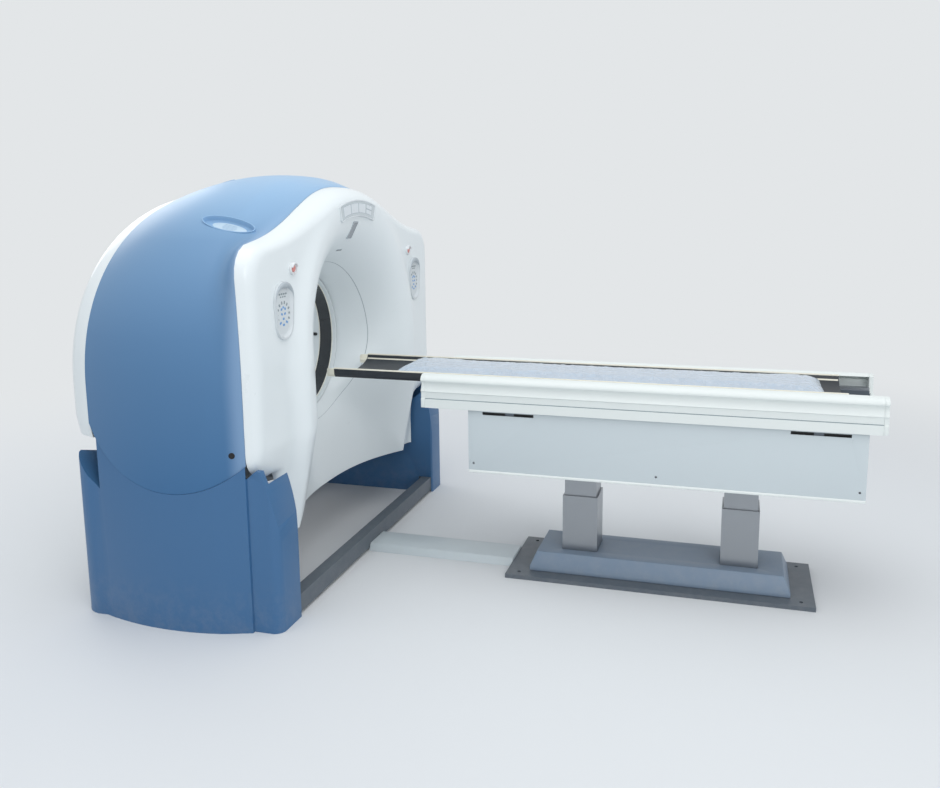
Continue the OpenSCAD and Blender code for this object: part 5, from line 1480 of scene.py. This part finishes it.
class SCANNER_OT_pad(Operator):
    """Foam pad in pale vinyl under a clear, creased cover"""

    bl_idname = "scanner.pad"
    bl_label = "Pad"

    def execute(self, context):
        table = looks("table")
        slab = refined(rounded(PAD_W, PAD_Y0 - PAD_Y1 - PAD_END_GAP, PAD_ROUND, 10), 0.02)
        pad = raised("pad_cushion", slab, Matrix.Translation((0, (PAD_Y0 + PAD_Y1) / 2, 0)), 0.0,
                     [(0.02, 0), (0.02, 0), (0.006, 0.004), (0.002, 0.01)])
        self.follow_cradle(pad)
        before = read_points(self.meshed(pad, FINE_CELL))
        self.inflate(pad, context)
        move = read_points(pad) - before
        reach = np.linalg.norm(move, axis=1)[:, None]
        after = before + move * np.minimum(1, PAD_SWELL / np.maximum(reach, 1e-9))
        low = before[:, 2] < self.bed(before[:, 0]) + PAD_HELD
        after[low] = before[low]
        write_points(pad, after)
        apply_modifier(pad, "SUBSURF", levels=1, render_levels=1)
        self.crease(pad, table.crinkle)
        for poly in pad.data.polygons:
            poly.use_smooth = True
        settle(pad, "cradle", self.film_finish(table), "pad_vinyl", "mattress")
        return {"FINISHED"}

    @staticmethod
    def bed(x):
        line = cradle_upper()[::-1]
        return np.interp(np.abs(x), line[:, 0], line[:, 1])

    @staticmethod
    def meshed(pad, size):
        only(pad)
        pad.data.remesh_voxel_size = size
        bpy.ops.object.voxel_remesh()
        return pad

    def follow_cradle(self, pad):
        """Lays the slab in the hollow: its underside follows the cradle, its top is gently crowned."""
        edit_all(pad, merge_doubles)
        apply_modifier(pad, "TRIANGULATE")
        p = read_points(self.meshed(pad, COARSE_CELL))
        share = np.clip(p[:, 2] / PAD_RISE, 0, 1)
        end = np.clip(np.minimum(PAD_Y0 - p[:, 1], p[:, 1] - PAD_Y1) / PAD_END_RUN, 0, 1)
        side = np.clip((PAD_W / 2 - np.abs(p[:, 0])) / PAD_SIDE_RUN, 0, 1)
        crown = PAD_CROWN * np.sin(side * np.pi / 2) * np.sin(np.pi / 2 * end) ** 0.6
        top = PAD_TOP + crown - PAD_DRAW * (1 - end) ** 3
        bottom = self.bed(p[:, 0]) + PAD_GAP
        p[:, 2] = bottom + share * (top - bottom)
        write_points(pad, p)

    @staticmethod
    def inflate(pad, context):
        """A short cloth run under pressure, with the underside held."""
        hold = pad.vertex_groups.new(name="held")
        p = read_points(pad)
        low = np.nonzero(p[:, 2] < SCANNER_OT_pad.bed(p[:, 0]) + PAD_HELD)[0]
        hold.add([int(k) for k in low], 1.0, "REPLACE")
        cloth = pad.modifiers.new("Cloth", "CLOTH")
        cloth.settings.quality = 5
        cloth.settings.use_pressure = True
        cloth.settings.uniform_pressure_force = CLOTH_PRESSURE
        cloth.settings.vertex_group_mass = "held"
        cloth.settings.effector_weights.gravity = 0
        cloth.collision_settings.use_collision = False
        cloth.collision_settings.use_self_collision = False
        scene = context.scene
        for step in range(1, CLOTH_FRAMES + 1):
            scene.frame_set(step)
        only(pad)
        bpy.ops.object.modifier_apply(modifier=cloth.name)
        scene.frame_set(1)

    @staticmethod
    def crease(pad, depth):
        """Folds of the loose clear cover: long creases across and short ones along the edges."""
        p = read_points(pad)
        normal = np.empty(len(p) * 3)
        pad.data.vertices.foreach_get("normal", normal)
        lift = np.empty(len(p))
        for k, (x, y, z) in enumerate(p):
            broad = noise.noise(Vector((x * 5, y * 2.3, 1.7)))
            a = 1 - abs(noise.noise(Vector((x * 9 + 3 * broad, y * 13 + 2 * broad, 4.1)))) * 2
            b = 1 - abs(noise.noise(Vector((x * 26 + y * 9, y * 22 - x * 11, 9.3)))) * 2
            lift[k] = 0.6 * max(0, a) ** 3 + 0.4 * max(0, b) ** 3 + 0.5 * broad
        free = np.clip((p[:, 2] - SCANNER_OT_pad.bed(p[:, 0]) - 0.008) / 0.02, 0, 1)
        write_points(pad, p + normal.reshape(-1, 3) * (lift * depth * free)[:, None])

    @staticmethod
    def film_finish(table):
        """Pale woven vinyl seen through a glossy clear coat with fine creases."""
        made, tree, shader, place = new_material("pad vinyl under film")
        vinyl = {"Vector": place, "Color": (*table.pad, 1), "Drift": 0.12, "Scale": 6}
        tone = placed(tree, "Tone Drift", vinyl)
        folds = clouds(tree, place, Scale=26, Detail=5, Roughness=0.62, Distortion=1.4)
        ridge = ramp(tree, folds, [(0.44, 0), (0.5, 1), (0.56, 0)])
        milky = blend(tree, maths(tree, "MULTIPLY", ridge, 0.4), tone["Color"], (*tint("e6ecf4"), 1))
        weave = maths(tree, "MULTIPLY", clouds(tree, place, Scale=700, Detail=2), 0.15)
        height = maths(tree, "ADD", ridge, weave)
        relief = add(tree, "ShaderNodeBump", {"Strength": 0.9, "Distance": 0.0012, "Height": height}).outputs[0]
        feed(tree, shader, {
            "Base Color": milky, "Roughness": remap(tree, folds, 0, 1, 0.45, 0.25), "Normal": relief,
            "Coat Weight": 1.0, "Coat Roughness": 0.05, "Coat Normal": relief,
        })
        return made


class SCANNER_OT_table_foot(Operator):
    """Foot cover and floor duct of the table"""

    bl_idname = "scanner.table_foot"
    bl_label = "Table foot"

    def execute(self, context):
        for node, name, edge, shade, slot in (
            ("table_base_cover", "foot_cover", 0.004, foot_finish(), "table_base_blue"),
            ("floor_duct", "duct", 0.003, panel_finish(), "control_grey"),
        ):
            settle(dressed(node, name, edge, pierced=True), "floor_base", shade, slot, node)
        return {"FINISHED"}


class SCANNER_OT_works(Operator):
    """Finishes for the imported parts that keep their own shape"""

    bl_idname = "scanner.works"
    bl_label = "Inner works"

    def execute(self, context):
        wear = {
            frame_finish: ["tilt_frame", "base_frame", "table_base", "table_frame", "cradle_drive"],
            alloy_finish: ["turning_ring", "xray_tube"],
            steel_finish: ["bearing_outer_race", "bearing_inner_race", "motor_pulley", "tilt_sector",
                           "tilt_pinion", "lift_outer_tubes", "lift_middle_tubes", "lift_inner_tubes",
                           "guide_rails"],
            machine_finish: ["ring_motor", "tilt_gearmotor", "detector", "brush_block", "collimator"],
            unit_finish: ["data_unit", "left_generator", "right_generator", "heat_exchanger", "power_unit",
                          "tilt_bearings"],
            brass_finish: ["slip_ring"],
            rubber_finish: ["drive_belt"],
        }
        for shade, nodes in wear.items():
            for node in nodes:
                coated(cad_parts[node], shade())
        return {"FINISHED"}


OPERATORS = [
    SCANNER_OT_stage, SCANNER_OT_front_cover, SCANNER_OT_side_covers, SCANNER_OT_rear_cover, SCANNER_OT_bore,
    SCANNER_OT_display, SCANNER_OT_controls, SCANNER_OT_stops, SCANNER_OT_vents, SCANNER_OT_base_covers,
    SCANNER_OT_table_top, SCANNER_OT_side_panels, SCANNER_OT_cradle, SCANNER_OT_pad, SCANNER_OT_table_foot,
    SCANNER_OT_works,
]
SETTINGS = {
    "scanner_covers": CoverSettings,
    "scanner_bore": BoreSettings,
    "scanner_controls": ControlSettings,
    "scanner_table": TableSettings,
    "scanner_stage": StageSettings,
}


class SCANNER_PT_build(Panel):
    """Sizes, colours and building steps of the scanner"""

    bl_idname = "SCANNER_PT_build"
    bl_label = "CT Scanner"
    bl_space_type = "VIEW_3D"
    bl_region_type = "UI"
    bl_category = "Scanner"

    def draw(self, context):
        for name, group in SETTINGS.items():
            box = self.layout.box()
            box.label(text=group.__name__.replace("Settings", ""))
            for prop in group.__annotations__:
                box.prop(getattr(context.scene, name), prop)
        for operator in OPERATORS:
            self.layout.operator(operator.bl_idname)


def register():
    for kind in [*SETTINGS.values(), *OPERATORS, SCANNER_PT_build]:
        bpy.utils.register_class(kind)
    for name, group in SETTINGS.items():
        setattr(bpy.types.Scene, name, PointerProperty(type=group))


def unregister():
    for name in SETTINGS:
        delattr(bpy.types.Scene, name)
    for kind in reversed([*SETTINGS.values(), *OPERATORS, SCANNER_PT_build]):
        bpy.utils.unregister_class(kind)


def main():
    register()
    for operator in OPERATORS:
        area, step = operator.bl_idname.split(".")
        getattr(getattr(bpy.ops, area), step)()


if __name__ == "__main__":
    main()
